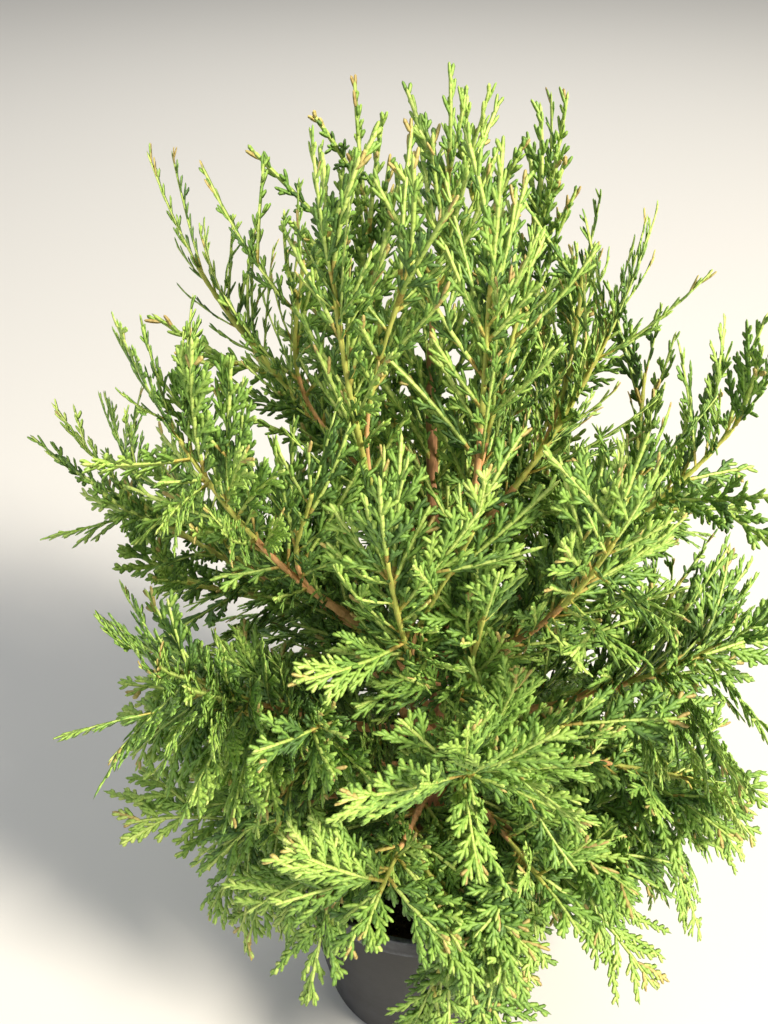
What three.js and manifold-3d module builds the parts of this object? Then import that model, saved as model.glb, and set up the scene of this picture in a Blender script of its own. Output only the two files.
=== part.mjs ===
// Potted thuja: a young, bushy conifer with flat ferny fronds, in a round black nursery pot.
// Millimetres, +Z up. The origin is the centre of the pot's flat underside, and -Y is the front.
// The trunk runs whole from the soil to the foot of its leader. Boughs leave it all round, in tiers,
// and each ends where its mass of foliage begins. A mass is one stem with flat toothed fronds on it,
// and it keeps to its own space: the points that lie nearer to its stem than to any other.

import * as THREE from 'three';
import { mergeVertices } from 'three/addons/utils/BufferGeometryUtils.js';
import Module from 'manifold-3d';

const wasm = await Module();
wasm.setup();

// Left open between neighbouring solids.
const GAP = 0.3;

// The pot: a tapering thin-walled tub with a stepped band under a narrow lip.
const POT = {
  height: 155,
  rimRadius: 95,
  footRadius: 69,
  cornerRadius: 4,
  cornerSteps: 2,
  wall: 2,
  floor: 3,
  bandHeight: 17,
  bandStep: 2.4,
  lipHeight: 3.2,
  lipStep: 1.3,
  edge: 0.8,
  bandDraft: 0.6,
  sides: 32,
  holes: 6,
  holeRadius: 5,
  holeCircle: 46,
  holeSides: 8,
};
const SOIL = { belowRim: 20, edgeDrop: 3, shoulderDrop: 1, shoulderShare: 0.7, flatRadius: 30 };
const SOIL_TOP = POT.height - SOIL.belowRim;

// The trunk: its radius shrinks evenly from foot to top, and the root flare adds to it at the soil.
const TRUNK = {
  top: 500,
  footRadius: 7,
  topRadius: 2.1,
  flare: 4.5,
  flareHeight: 11,
  lobes: 5,
  lobeDepth: 0.22,
  swayX: 5,
  swayY: -6,
  sides: 10,
  rings: 18,
  crowding: 1.7,
};

// A limb's radius at the trunk grows with its length; a stem carries on from its bough's tip. The
// pulls are how far along its length a limb keeps its first direction, and takes on its last.
const LIMB = {
  radius: 1.6,
  radiusPerLength: 0.0085,
  boughTip: 1.9,
  stemMost: 2.6,
  stemTip: 0.9,
  rings: 5,
  sides: 5,
  stemSides: 3,
  startPull: 0.36,
  endPull: 0.3,
};

// Where a bare bough ends along its limb's line, and where the stem of a mass ends.
const BOUGH_SHARE = 0.36;
const STEM_SHARE = 0.76;

// A frond is a rib with pointed teeth on both sides. Lengths are shares of the frond's own length.
const FROND = {
  teeth: 4,
  shortTeeth: 3,
  shortLength: 86,
  stalk: 0.13,
  halfWidth: 0.34,
  forward: 40,
  stalkRadius: 1.2,
  thickness: 1.1,
  bladeWidth: 0.075,
  tipCurl: 0.12,
  backBend: 0.08,
  endShare: 0.94,
  clearance: 1.1,
  apart: 6,
};

// How the fronds of a mass are dealt out along its stem. Each takes the roomiest of its tries: they
// turn freely round the stem, vary in lean and twist (degrees), and in length by a share of the rule's.
const PLACING = {
  tries: 70,
  first: 0.08,
  span: 0.88,
  leanAtFoot: 1.15,
  leanLost: 0.3,
  leanSpread: 20,
  lengthLost: 0.25,
  longest: 1.1,
  lengthSpread: 0.7,
  twistSpread: 46,
  lengthWorth: 0.1,
};
const TIER_SEED = 100;
const LEADER_SEED = 700;

// Tiers from the soil upwards. A tier's limbs leave the trunk near its height, at the angle rise, and
// end at the angle tipRise. A mass is [bearing in degrees, reach from the axis, height of its tip].
// facing is how far the fronds' flat sides look outwards and upwards, and curl bends them up or down.
const TIERS = [
  {
    name: 'low',
    height: 174,
    step: 4,
    rise: 30,
    tipRise: -44,
    boughs: true,
    fronds: 5,
    frondLength: 100,
    fullness: 1,
    spread: 52,
    facing: [0.75, 0.8],
    curl: -0.2,
    masses: {
      front: [-86, 142, 146],
      front_left: [-128, 140, 196],
      left: [-160, 152, 176],
      back_left: [162, 164, 170],
      back: [100, 168, 160],
      back_right: [46, 170, 164],
      right: [-14, 190, 178],
      front_right: [-44, 160, 205],
    },
  },
  {
    name: 'lower_middle',
    height: 212,
    step: 4,
    rise: 24,
    tipRise: 8,
    boughs: true,
    fronds: 5,
    frondLength: 104,
    fullness: 1,
    spread: 56,
    facing: [0.75, 0.7],
    curl: -0.08,
    masses: {
      front: [-104, 160, 250],
      front_right: [-64, 166, 246],
      right: [-20, 204, 258],
      back_right: [66, 178, 256],
      back_left: [128, 180, 260],
      left: [-166, 180, 316],
    },
  },
  {
    name: 'middle',
    height: 252,
    step: 4,
    rise: 28,
    tipRise: 56,
    boughs: false,
    bared: ['front_left', 'right'],
    fronds: 6,
    frondLength: 100,
    fullness: 1,
    spread: 58,
    facing: [0.9, 0.4],
    curl: 0.04,
    masses: {
      front: [-84, 150, 372],
      right: [-24, 184, 402],
      back_right: [32, 182, 386],
      back: [92, 174, 382],
      back_left: [154, 184, 386],
      front_left: [-150, 184, 400],
    },
  },
  {
    name: 'upper',
    height: 306,
    step: 5,
    rise: 36,
    tipRise: 76,
    boughs: false,
    bared: ['front_right', 'front_left'],
    fronds: 6,
    frondLength: 88,
    fullness: 0.9,
    spread: 50,
    facing: [0.9, 0.25],
    curl: 0.08,
    masses: {
      front: [-106, 112, 492],
      front_right: [-52, 134, 500],
      right: [-4, 166, 510],
      back_right: [52, 150, 502],
      back: [112, 142, 506],
      left: [178, 194, 462],
      front_left: [-152, 154, 546],
    },
  },
  {
    name: 'heart',
    height: 284,
    step: 3,
    rise: 40,
    tipRise: 66,
    boughs: false,
    bared: [],
    fronds: 4,
    frondLength: 82,
    fullness: 1,
    spread: 60,
    facing: [0.9, 0.4],
    curl: 0.04,
    masses: {
      front: [-78, 104, 440],
      right: [12, 96, 432],
      back: [78, 92, 430],
      left: [-176, 100, 436],
    },
  },
  {
    name: 'top',
    height: 372,
    step: 6,
    rise: 54,
    tipRise: 82,
    boughs: false,
    bared: ['front'],
    fronds: 4,
    frondLength: 76,
    fullness: 0.62,
    spread: 38,
    facing: [0.9, 0.1],
    curl: 0.12,
    masses: {
      front: [-70, 52, 604],
      right: [-10, 90, 568],
      back_right: [44, 80, 598],
      back_left: [122, 78, 600],
      left: [172, 134, 582],
      front_left: [-140, 72, 608],
    },
  },
];

// The leader carries the trunk on to the top of the plant.
const LEADER = {
  fronds: 6,
  frondLength: 66,
  fullness: 0.6,
  spread: 32,
  facing: [0.8, 0.1],
  curl: 0.12,
  tipHeight: 622,
  straight: 40,
  bendX: 3,
  bendY: -4,
  bendBelowTip: 45,
  bearing: -60,
};

const UP = new THREE.Vector3(0, 0, 1);

const COLOURS = {
  pot: new THREE.MeshStandardMaterial({ color: 0x2b2c2e, roughness: 0.6, metalness: 0 }),
  soil: new THREE.MeshStandardMaterial({ color: 0x2d2118, roughness: 1, metalness: 0 }),
  bark: new THREE.MeshStandardMaterial({ color: 0x8a5432, roughness: 0.85, metalness: 0 }),
  bough: new THREE.MeshStandardMaterial({ color: 0xb06a3c, roughness: 0.75, metalness: 0 }),
  foliage: new THREE.MeshStandardMaterial({ color: 0x86b244, roughness: 0.6, metalness: 0 }),
};

// A seeded run of numbers from 0 to 1.
function randomFrom(seed) {
  let state = seed >>> 0;
  return () => {
    state = (Math.imul(state, 1664525) + 1013904223) >>> 0;
    return state / 4294967296;
  };
}

// From a bearing, a distance from the axis and a height to a point.
function around(bearing, reach, height) {
  const angle = THREE.MathUtils.degToRad(bearing);
  return new THREE.Vector3(reach * Math.cos(angle), reach * Math.sin(angle), height);
}

// The trunk's centre at a height, with its gentle sway.
function trunkCentre(height) {
  const share = (height - SOIL_TOP) / (TRUNK.top - SOIL_TOP);
  const x = TRUNK.swayX * Math.sin(Math.PI * 1.5 * share);
  const y = TRUNK.swayY * Math.sin(Math.PI * share);
  return new THREE.Vector3(x, y, height);
}

function trunkRadius(height) {
  const share = (height - SOIL_TOP) / (TRUNK.top - SOIL_TOP);
  const flare = TRUNK.flare * Math.exp(-(height - SOIL_TOP) / TRUNK.flareHeight);
  return THREE.MathUtils.lerp(TRUNK.footRadius, TRUNK.topRadius, share) + flare;
}

// The root flare's lobes, which fade upwards, make the trunk wider or narrower than its radius.
function trunkLobe(height, angle) {
  const fade = Math.exp(-(height - SOIL_TOP) / TRUNK.flareHeight);
  return 1 + TRUNK.lobeDepth * fade * Math.cos(TRUNK.lobes * angle);
}

// From the trunk's centre to its flat-sided skin, in one direction.
function trunkSkin(height, bearing) {
  const angle = THREE.MathUtils.degToRad(bearing + 360);
  const wedge = (2 * Math.PI) / TRUNK.sides;
  const flat = Math.cos(wedge / 2) / Math.cos((angle % wedge) - wedge / 2);
  return trunkRadius(height) * trunkLobe(height, angle) * flat;
}

function potRadius(height) {
  return THREE.MathUtils.lerp(POT.footRadius, POT.rimRadius, height / POT.height);
}

// A closed tube through rings of points, with a flat face at each end.
function tubeOfRings(rings) {
  const sides = rings[0].length;
  const positions = rings.flat().flatMap((point) => point.toArray());
  const index = [];
  for (let ring = 0; ring < rings.length - 1; ring++) {
    for (let side = 0; side < sides; side++) {
      const next = (side + 1) % sides;
      const a = ring * sides + side;
      const b = ring * sides + next;
      index.push(a, b, b + sides, a, b + sides, a + sides);
    }
  }
  const last = (rings.length - 1) * sides;
  for (let side = 1; side < sides - 1; side++) {
    index.push(0, side + 1, side, last, last + side, last + side + 1);
  }
  return geometryOf(positions, index);
}

function geometryOf(positions, index) {
  const geometry = new THREE.BufferGeometry();
  geometry.setAttribute('position', new THREE.Float32BufferAttribute(positions, 3));
  geometry.setIndex(index);
  return geometry;
}

// A ring of points round a centre, square to a direction.
function ringAt(centre, direction, radius, sides) {
  const across = new THREE.Vector3().crossVectors(direction, UP);
  if (across.length() < 0.05) across.set(1, 0, 0);
  across.normalize();
  const over = new THREE.Vector3().crossVectors(across, direction).normalize();
  return Array.from({ length: sides }, (_, side) => {
    const angle = -(side / sides) * Math.PI * 2;
    return centre.clone()
      .addScaledVector(across, radius * Math.cos(angle))
      .addScaledVector(over, radius * Math.sin(angle));
  });
}

// A tapering limb along part of a curve.
function taperedLimb(curve, from, to, radiusFrom, radiusTo, rings, sides) {
  return tubeOfRings(Array.from({ length: rings }, (_, ring) => {
    const share = ring / (rings - 1);
    const at = THREE.MathUtils.lerp(from, to, share);
    const radius = THREE.MathUtils.lerp(radiusFrom, radiusTo, share);
    return ringAt(curve.getPoint(at), curve.getTangent(at), radius, sides);
  }));
}

// The pot is turned from one profile, up its outside and down its inside, and drilled for drainage.
function potShell() {
  const { height, rimRadius, footRadius, cornerRadius, cornerSteps, wall, floor, edge, bandDraft } = POT;
  const bandFoot = height - POT.bandHeight;
  const bandRadius = rimRadius - POT.lipStep;
  const wallTop = bandRadius - POT.bandStep;
  const profile = [new THREE.Vector2(0, 0)];
  for (let step = 0; step <= cornerSteps; step++) {
    const angle = (step / cornerSteps) * (Math.PI / 2);
    profile.push(new THREE.Vector2(
      footRadius - cornerRadius + cornerRadius * Math.sin(angle),
      cornerRadius - cornerRadius * Math.cos(angle),
    ));
  }
  profile.push(
    new THREE.Vector2(wallTop, bandFoot),
    new THREE.Vector2(bandRadius - bandDraft, bandFoot),
    new THREE.Vector2(bandRadius, height - POT.lipHeight),
    new THREE.Vector2(rimRadius, height - POT.lipHeight),
    new THREE.Vector2(rimRadius, height - edge),
    new THREE.Vector2(rimRadius - edge, height),
    new THREE.Vector2(bandRadius - wall, height),
    new THREE.Vector2(bandRadius - wall - bandDraft, bandFoot + wall),
    new THREE.Vector2(wallTop - wall, bandFoot),
    new THREE.Vector2(footRadius - wall, floor + cornerRadius),
    new THREE.Vector2(footRadius - wall - cornerRadius, floor),
    new THREE.Vector2(0, floor),
  );
  const shell = new THREE.LatheGeometry(profile, POT.sides).rotateX(Math.PI / 2);
  let solid = solidOf(shell);
  for (let hole = 0; hole < POT.holes; hole++) {
    const place = around((hole * 360) / POT.holes, POT.holeCircle, POT.floor / 2);
    const drill = new THREE.CylinderGeometry(POT.holeRadius, POT.holeRadius, POT.floor * 3, POT.holeSides)
      .rotateX(Math.PI / 2)
      .translate(place.x, place.y, place.z);
    solid = solid.subtract(solidOf(drill));
  }
  return geometryFrom(solid);
}

// The potting soil fills the pot from its floor to a nearly level top. It has half the pot's sides,
// so that each of its edges meets one of the pot's.
function soilPlug() {
  const innerAt = (height) => {
    const slope = (POT.rimRadius - POT.lipStep - POT.bandStep - POT.footRadius)
      / (POT.height - POT.bandHeight - POT.cornerRadius);
    return POT.footRadius - POT.wall + slope * (height - POT.cornerRadius) - 2 * GAP;
  };
  const foot = POT.floor + GAP;
  const corner = POT.floor + POT.cornerRadius + 1;
  const edge = SOIL_TOP - SOIL.edgeDrop;
  const profile = [
    new THREE.Vector2(0, foot),
    new THREE.Vector2(innerAt(foot) - POT.cornerRadius - 1, foot),
    new THREE.Vector2(innerAt(corner), corner),
    new THREE.Vector2(innerAt(edge), edge),
    new THREE.Vector2(innerAt(edge) * SOIL.shoulderShare, SOIL_TOP - SOIL.shoulderDrop),
    new THREE.Vector2(SOIL.flatRadius, SOIL_TOP),
    new THREE.Vector2(0, SOIL_TOP),
  ];
  return new THREE.LatheGeometry(profile, POT.sides / 2).rotateX(Math.PI / 2);
}

// Rings sit closest together in the root flare.
function trunkLimb() {
  const foot = SOIL_TOP + GAP;
  return tubeOfRings(Array.from({ length: TRUNK.rings }, (_, ring) => {
    const share = (ring / (TRUNK.rings - 1)) ** TRUNK.crowding;
    const height = THREE.MathUtils.lerp(foot, TRUNK.top, share);
    const centre = trunkCentre(height);
    return Array.from({ length: TRUNK.sides }, (_, side) => {
      const angle = (side / TRUNK.sides) * Math.PI * 2;
      const radius = trunkRadius(height) * trunkLobe(height, angle);
      return new THREE.Vector3(
        centre.x + radius * Math.cos(angle),
        centre.y + radius * Math.sin(angle),
        height,
      );
    });
  }));
}

// The line of a limb and its mass together, from the trunk's skin to the furthest tip. The limb's
// first ring leans back over the trunk, so the line starts that much further out.
function limbCurve(bearing, height, rise, tip, tipRise, ringRadius, ringSides) {
  const out = around(bearing, 1, 0);
  const centre = trunkCentre(height);
  const angle = THREE.MathUtils.degToRad(rise);
  const tipAngle = THREE.MathUtils.degToRad(tipRise);
  const along = out.clone().multiplyScalar(Math.cos(angle)).addScaledVector(UP, Math.sin(angle));
  const tipAlong = out.clone().multiplyScalar(Math.cos(tipAngle)).addScaledVector(UP, Math.sin(tipAngle));
  const length = tip.distanceTo(centre);
  const lean = ringRadius * Math.cos(Math.PI / (2 * ringSides)) * Math.sin(angle);
  const start = centre.addScaledVector(out, trunkSkin(height, bearing) + GAP + lean);
  return new THREE.CubicBezierCurve3(
    start,
    start.clone().addScaledVector(along, length * LIMB.startPull),
    tip.clone().addScaledVector(tipAlong, -length * LIMB.endPull),
    tip,
  );
}

// How much of a curve's run of shares the gap takes up at a place on it.
function shareOfGap(curve, at) {
  const step = 0.01;
  return (step * GAP) / curve.getPoint(at).distanceTo(curve.getPoint(at + step));
}

// Every limb with its mass, in the order in which they leave the trunk.
function limbPlan() {
  const limbs = [];
  TIERS.forEach((tier, level) => {
    Object.entries(tier.masses).forEach(([side, [bearing, reach, tipHeight]], place) => {
      const bared = tier.boughs || tier.bared.includes(side);
      const height = tier.height + tier.step * (((place * 3) % 7) - 3);
      const tip = around(bearing, reach, tipHeight);
      const radius = LIMB.radius + LIMB.radiusPerLength * tip.distanceTo(trunkCentre(height));
      const ringRadius = bared ? radius : Math.min(radius, LIMB.stemMost);
      const ringSides = bared ? LIMB.sides : LIMB.stemSides;
      const curve = limbCurve(bearing, height, tier.rise, tip, tier.tipRise, ringRadius, ringSides);
      limbs.push({
        name: `${tier.name}_${side}`,
        seed: TIER_SEED * (level + 1) + place,
        bearing,
        curve,
        bared,
        radius,
        stemFrom: bared ? BOUGH_SHARE + shareOfGap(curve, BOUGH_SHARE) : 0,
        stemRadius: bared ? LIMB.boughTip : ringRadius,
        rule: tier,
      });
    });
  });
  const top = trunkCentre(TRUNK.top);
  const tip = new THREE.Vector3(0, 0, LEADER.tipHeight);
  const line = new THREE.CubicBezierCurve3(
    top.clone().addScaledVector(UP, GAP),
    top.clone().addScaledVector(UP, LEADER.straight),
    new THREE.Vector3(LEADER.bendX, LEADER.bendY, LEADER.tipHeight - LEADER.bendBelowTip),
    tip,
  );
  limbs.push({
    name: 'leader',
    seed: LEADER_SEED,
    bearing: LEADER.bearing,
    curve: line,
    bared: false,
    radius: TRUNK.topRadius,
    stemFrom: 0,
    stemRadius: TRUNK.topRadius,
    rule: LEADER,
  });
  return limbs;
}

// A frond's rib: it bends from its first direction towards the bend vector.
function ribPoint(frond, share) {
  return frond.root.clone()
    .addScaledVector(frond.along, frond.length * share)
    .addScaledVector(frond.bend, frond.length * share * share);
}

// The frond is widest a third of the way up and narrows to its tip.
function frondHalfWidth(frond, share) {
  const open = (share - FROND.stalk) / (1 - FROND.stalk);
  const shape = Math.sin(Math.PI * Math.min(1, open * 0.82 + 0.2)) ** 0.8;
  return frond.length * FROND.halfWidth * shape * frond.fullness;
}

function toothTip(frond, share, side) {
  const angle = THREE.MathUtils.degToRad(FROND.forward);
  const reach = frondHalfWidth(frond, share) / Math.sin(angle);
  return ribPoint(frond, share)
    .addScaledVector(frond.along, reach * Math.cos(angle))
    .addScaledVector(frond.across, side * reach * Math.sin(angle))
    .addScaledVector(frond.face, -FROND.tipCurl * reach);
}

// Where the teeth stand along the rib: a short frond has fewer.
function toothShares(frond) {
  const teeth = frond.length < FROND.shortLength ? FROND.shortTeeth : FROND.teeth;
  return Array.from({ length: teeth + 1 }, (_, tooth) => {
    return THREE.MathUtils.lerp(FROND.stalk, FROND.endShare, tooth / teeth);
  });
}

// Half the width and half the thickness of the frond's solid middle: a thin stalk that opens out.
function bladeAt(frond, share) {
  const taper = 1 - 0.8 * share;
  if (share < FROND.stalk) return [FROND.stalkRadius, FROND.stalkRadius * 0.8];
  return [frond.length * FROND.bladeWidth * taper * frond.fullness, FROND.thickness * (1 - 0.4 * share)];
}

// A three-cornered blade whose two upper faces grow one pointed tooth in every step.
function frondShape(frond) {
  const shares = [0, ...toothShares(frond)];
  const points = [];
  const index = [];
  shares.forEach((share) => {
    const centre = ribPoint(frond, share);
    const [halfWidth, height] = bladeAt(frond, share);
    points.push(centre.clone().addScaledVector(frond.face, height));
    [1, -1].forEach((side) => {
      points.push(centre.clone()
        .addScaledVector(frond.face, -height * 0.5)
        .addScaledVector(frond.across, side * halfWidth));
    });
  });
  for (let step = 0; step < shares.length - 1; step++) {
    const [top, left, right] = [3 * step, 3 * step + 1, 3 * step + 2];
    const sides = [
      [top, top + 3, left + 3, left, 1],
      [top, right, right + 3, top + 3, -1],
    ];
    sides.forEach(([a, b, c, d, side]) => {
      if (step === 0) {
        index.push(a, b, c, a, c, d);
        return;
      }
      const apex = points.length;
      points.push(toothTip(frond, shares[step], side));
      index.push(a, b, apex, b, c, apex, c, d, apex, d, a, apex);
    });
    index.push(left, left + 3, right + 3, left, right + 3, right);
  }
  const end = points.length;
  points.push(ribPoint(frond, 1));
  const last = 3 * (shares.length - 1);
  index.push(0, 1, 2, last, end, last + 1, last + 1, end, last + 2, last + 2, end, last);
  return geometryOf(points.flatMap((point) => point.toArray()), index);
}

// Points on a frond, close enough together to test where it lies.
function frondSamples(frond) {
  const samples = [ribPoint(frond, 1)];
  toothShares(frond).forEach((share, place, shares) => {
    const root = ribPoint(frond, share);
    samples.push(root);
    if (place === shares.length - 1) return;
    samples.push(ribPoint(frond, share + 0.08));
    [1, -1].forEach((side) => {
      const tip = toothTip(frond, share, side);
      [0.35, 0.7, 1].forEach((part) => samples.push(root.clone().lerp(tip, part)));
    });
  });
  return samples;
}

// A limb's centre line as short straight pieces, for measuring distances to it.
function lineOf(curve, from, to, radiusFrom, radiusTo) {
  const steps = 8;
  return Array.from({ length: steps + 1 }, (_, step) => {
    const share = step / steps;
    return {
      point: curve.getPoint(THREE.MathUtils.lerp(from, to, share)),
      radius: THREE.MathUtils.lerp(radiusFrom, radiusTo, share),
    };
  });
}

function distanceToLine(point, line, withRadius) {
  let least = Infinity;
  for (let step = 0; step < line.length - 1; step++) {
    const a = line[step].point;
    const b = line[step + 1].point;
    const along = b.clone().sub(a);
    const from = point.clone().sub(a);
    const share = THREE.MathUtils.clamp(from.dot(along) / along.lengthSq(), 0, 1);
    const radius = THREE.MathUtils.lerp(line[step].radius, line[step + 1].radius, share);
    const distance = from.addScaledVector(along, -share).length();
    least = Math.min(least, withRadius ? distance - radius : distance);
  }
  return least;
}

// True where a point stands clear of the pot and the soil, and inside its own mass's space.
function hasRoom(point, mass, spaces, limbs) {
  const fromAxis = Math.hypot(point.x, point.y);
  const margin = FROND.clearance;
  if (point.z < POT.height + margin && fromAxis < potRadius(point.z) + margin + 1) return false;
  if (limbs.some((limb) => distanceToLine(point, limb, true) < margin)) return false;
  const own = distanceToLine(point, spaces[mass], false);
  return spaces.every((line, other) => {
    return other === mass || distanceToLine(point, line, false) > own + 2 * margin;
  });
}

// One frond at a share of the stem, turned round the stem by roll and leaning out by an angle.
function frondAt(limb, share, roll, leanDegrees, length, twist) {
  const lean = THREE.MathUtils.degToRad(leanDegrees);
  const at = THREE.MathUtils.lerp(limb.stemFrom, STEM_SHARE, share);
  const root = limb.curve.getPoint(at);
  const tangent = limb.curve.getTangent(at);
  const across = new THREE.Vector3().crossVectors(UP, around(limb.bearing, 1, 0));
  const over = new THREE.Vector3().crossVectors(tangent, across);
  const along = tangent.clone().multiplyScalar(Math.cos(lean))
    .addScaledVector(across, Math.sin(lean) * Math.cos(roll))
    .addScaledVector(over, Math.sin(lean) * Math.sin(roll))
    .normalize();
  return finishFrond(limb, root, along, length, twist);
}

// The flat side looks outwards and upwards as the tier's rule says, then turns by the twist.
function finishFrond(limb, root, along, length, twist) {
  const [outwards, upwards] = limb.rule.facing;
  const look = around(limb.bearing, outwards, upwards);
  const face = look.addScaledVector(along, -look.dot(along)).normalize()
    .applyAxisAngle(along, THREE.MathUtils.degToRad(twist));
  const across = new THREE.Vector3().crossVectors(face, along);
  const bend = UP.clone().multiplyScalar(limb.rule.curl).addScaledVector(face, -FROND.backBend);
  return { root, along, face, across, bend, length, fullness: limb.rule.fullness };
}

// The stem's last frond reaches the mass's furthest tip.
function endFrond(limb) {
  const root = limb.curve.getPoint(STEM_SHARE - 0.02);
  const reach = limb.curve.getPoint(1).sub(root);
  const bend = finishFrond(limb, root, reach.clone().normalize(), 1, 0).bend;
  const length = reach.length() / (1 + 0.5 * bend.length() ** 2);
  const along = reach.clone().addScaledVector(bend, -length).normalize();
  return finishFrond(limb, root, along, length, 0);
}

// The least distance from one frond's points to others that are already taken.
function roomAround(samples, taken) {
  let least = Infinity;
  samples.forEach((point) => {
    taken.forEach((other) => {
      least = Math.min(least, point.distanceToSquared(other));
    });
  });
  return Math.sqrt(least);
}

// Fronds stand along the stem at even steps. Each is the roomiest of its tries that stays in the
// mass's space, and a place where none of them fits stays bare.
function frondsOf(limb, mass, spaces, limbs) {
  const random = randomFrom(limb.seed);
  const { fronds, frondLength, spread } = limb.rule;
  const chosen = [endFrond(limb)];
  const taken = [...frondSamples(chosen[0])];
  for (let place = 0; place < fronds; place++) {
    const share = PLACING.first + (PLACING.span * (place + 0.5)) / fronds;
    let best = null;
    for (let attempt = 0; attempt < PLACING.tries; attempt++) {
      const roll = 2 * Math.PI * random();
      const lean = spread * (PLACING.leanAtFoot - PLACING.leanLost * share)
        + (random() - 0.5) * PLACING.leanSpread;
      const length = frondLength * (1 - PLACING.lengthLost * share)
        * (PLACING.longest - PLACING.lengthSpread * random());
      const twist = (random() - 0.5) * PLACING.twistSpread;
      const frond = frondAt(limb, share, roll, lean, length, twist);
      const samples = frondSamples(frond);
      if (!samples.every((point) => hasRoom(point, mass, spaces, limbs))) continue;
      const room = roomAround(samples, taken);
      const score = room + PLACING.lengthWorth * length;
      if (room > FROND.apart && (!best || score > best.score)) best = { frond, samples, score };
    }
    if (best) {
      chosen.push(best.frond);
      taken.push(...best.samples);
    }
  }
  return chosen;
}

// From a closed mesh to a solid that can be joined and cut.
function solidOf(geometry) {
  const plain = geometry.clone();
  plain.deleteAttribute('normal');
  plain.deleteAttribute('uv');
  const merged = mergeVertices(plain, 1e-4);
  const corners = Array.from(merged.index.array);
  const kept = [];
  for (let corner = 0; corner < corners.length; corner += 3) {
    const [a, b, c] = corners.slice(corner, corner + 3);
    if (a !== b && b !== c && c !== a) kept.push(a, b, c);
  }
  return new wasm.Manifold(new wasm.Mesh({
    numProp: 3,
    vertProperties: new Float32Array(merged.attributes.position.array),
    triVerts: new Uint32Array(kept),
  }));
}

function geometryFrom(solid) {
  const mesh = solid.getMesh();
  return geometryOf(Array.from(mesh.vertProperties), Array.from(mesh.triVerts));
}

// The largest connected piece: a loose scrap is dropped.
function largestPiece(solid) {
  const pieces = solid.decompose();
  return pieces.reduce((best, piece) => (piece.volume() > best.volume() ? piece : best));
}

function massGeometry(limb, fronds) {
  let solid = solidOf(taperedLimb(
    limb.curve, limb.stemFrom, STEM_SHARE, limb.stemRadius, LIMB.stemTip, LIMB.rings, LIMB.stemSides,
  ));
  fronds.forEach((frond) => {
    solid = solid.add(solidOf(frondShape(frond)));
  });
  return geometryFrom(largestPiece(solid));
}

function named(name, geometry, material) {
  const mesh = new THREE.Mesh(geometry, material.clone());
  mesh.name = name;
  return mesh;
}

function pottedThuja() {
  const plant = new THREE.Group();
  plant.add(named('pot', potShell(), COLOURS.pot));
  plant.add(named('soil', soilPlug(), COLOURS.soil));
  plant.add(named('trunk', trunkLimb(), COLOURS.bark));

  const limbs = limbPlan();
  const trunkLine = Array.from({ length: 20 }, (_, step) => {
    const height = THREE.MathUtils.lerp(SOIL_TOP, TRUNK.top, step / 19);
    return { point: trunkCentre(height), radius: trunkRadius(height) };
  });
  const boughLines = limbs.filter((limb) => limb.bared).map((limb) => {
    return lineOf(limb.curve, 0, BOUGH_SHARE, limb.radius, LIMB.boughTip);
  });
  const spaces = limbs.map((limb) => lineOf(limb.curve, limb.stemFrom, 1, limb.stemRadius, LIMB.stemTip));

  limbs.forEach((limb, mass) => {
    if (limb.bared) {
      const bough = taperedLimb(
        limb.curve, 0, BOUGH_SHARE, limb.radius, LIMB.boughTip, LIMB.rings, LIMB.sides,
      );
      plant.add(named(`bough_${limb.name}`, bough, COLOURS.bough));
    }
    const fronds = frondsOf(limb, mass, spaces, [trunkLine, ...boughLines]);
    plant.add(named(`foliage_${limb.name}`, massGeometry(limb, fronds), COLOURS.foliage));
  });
  return plant;
}

export default pottedThuja();
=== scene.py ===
"""Potted thuja: the looks of a young, bushy conifer in a round black nursery pot.

The limbs and the fronds follow the same seeded rule as the solids, in millimetres, and every
frond is carried on to side branches and twiglets. Meshes are scaled to metres when they are made.
"""
import math
from functools import partial
from types import SimpleNamespace

import bpy
import numpy as np
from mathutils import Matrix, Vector, noise
from mathutils.kdtree import KDTree


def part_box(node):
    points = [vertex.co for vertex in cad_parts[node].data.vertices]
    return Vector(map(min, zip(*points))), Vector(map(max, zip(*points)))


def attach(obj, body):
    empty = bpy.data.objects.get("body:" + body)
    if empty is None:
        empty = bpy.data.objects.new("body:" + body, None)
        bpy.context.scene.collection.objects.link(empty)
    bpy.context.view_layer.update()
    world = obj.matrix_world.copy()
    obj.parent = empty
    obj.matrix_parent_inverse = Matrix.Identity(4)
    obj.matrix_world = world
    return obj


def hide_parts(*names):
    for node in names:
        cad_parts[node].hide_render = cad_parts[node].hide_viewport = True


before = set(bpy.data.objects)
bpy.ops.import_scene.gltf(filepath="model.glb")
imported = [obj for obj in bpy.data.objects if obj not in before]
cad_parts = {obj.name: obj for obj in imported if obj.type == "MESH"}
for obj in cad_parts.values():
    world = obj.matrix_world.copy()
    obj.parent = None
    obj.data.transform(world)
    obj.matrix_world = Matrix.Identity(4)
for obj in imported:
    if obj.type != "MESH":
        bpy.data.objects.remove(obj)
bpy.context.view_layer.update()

METRE = 0.001
UP = np.array([0.0, 0.0, 1.0])

# Sizes read from the frame, in millimetres.
POT_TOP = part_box("pot")[1].z / METRE
POT_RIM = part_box("pot")[1].x / METRE
SOIL_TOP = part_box("soil")[1].z / METRE
TRUNK_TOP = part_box("trunk")[1].z / METRE

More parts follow.
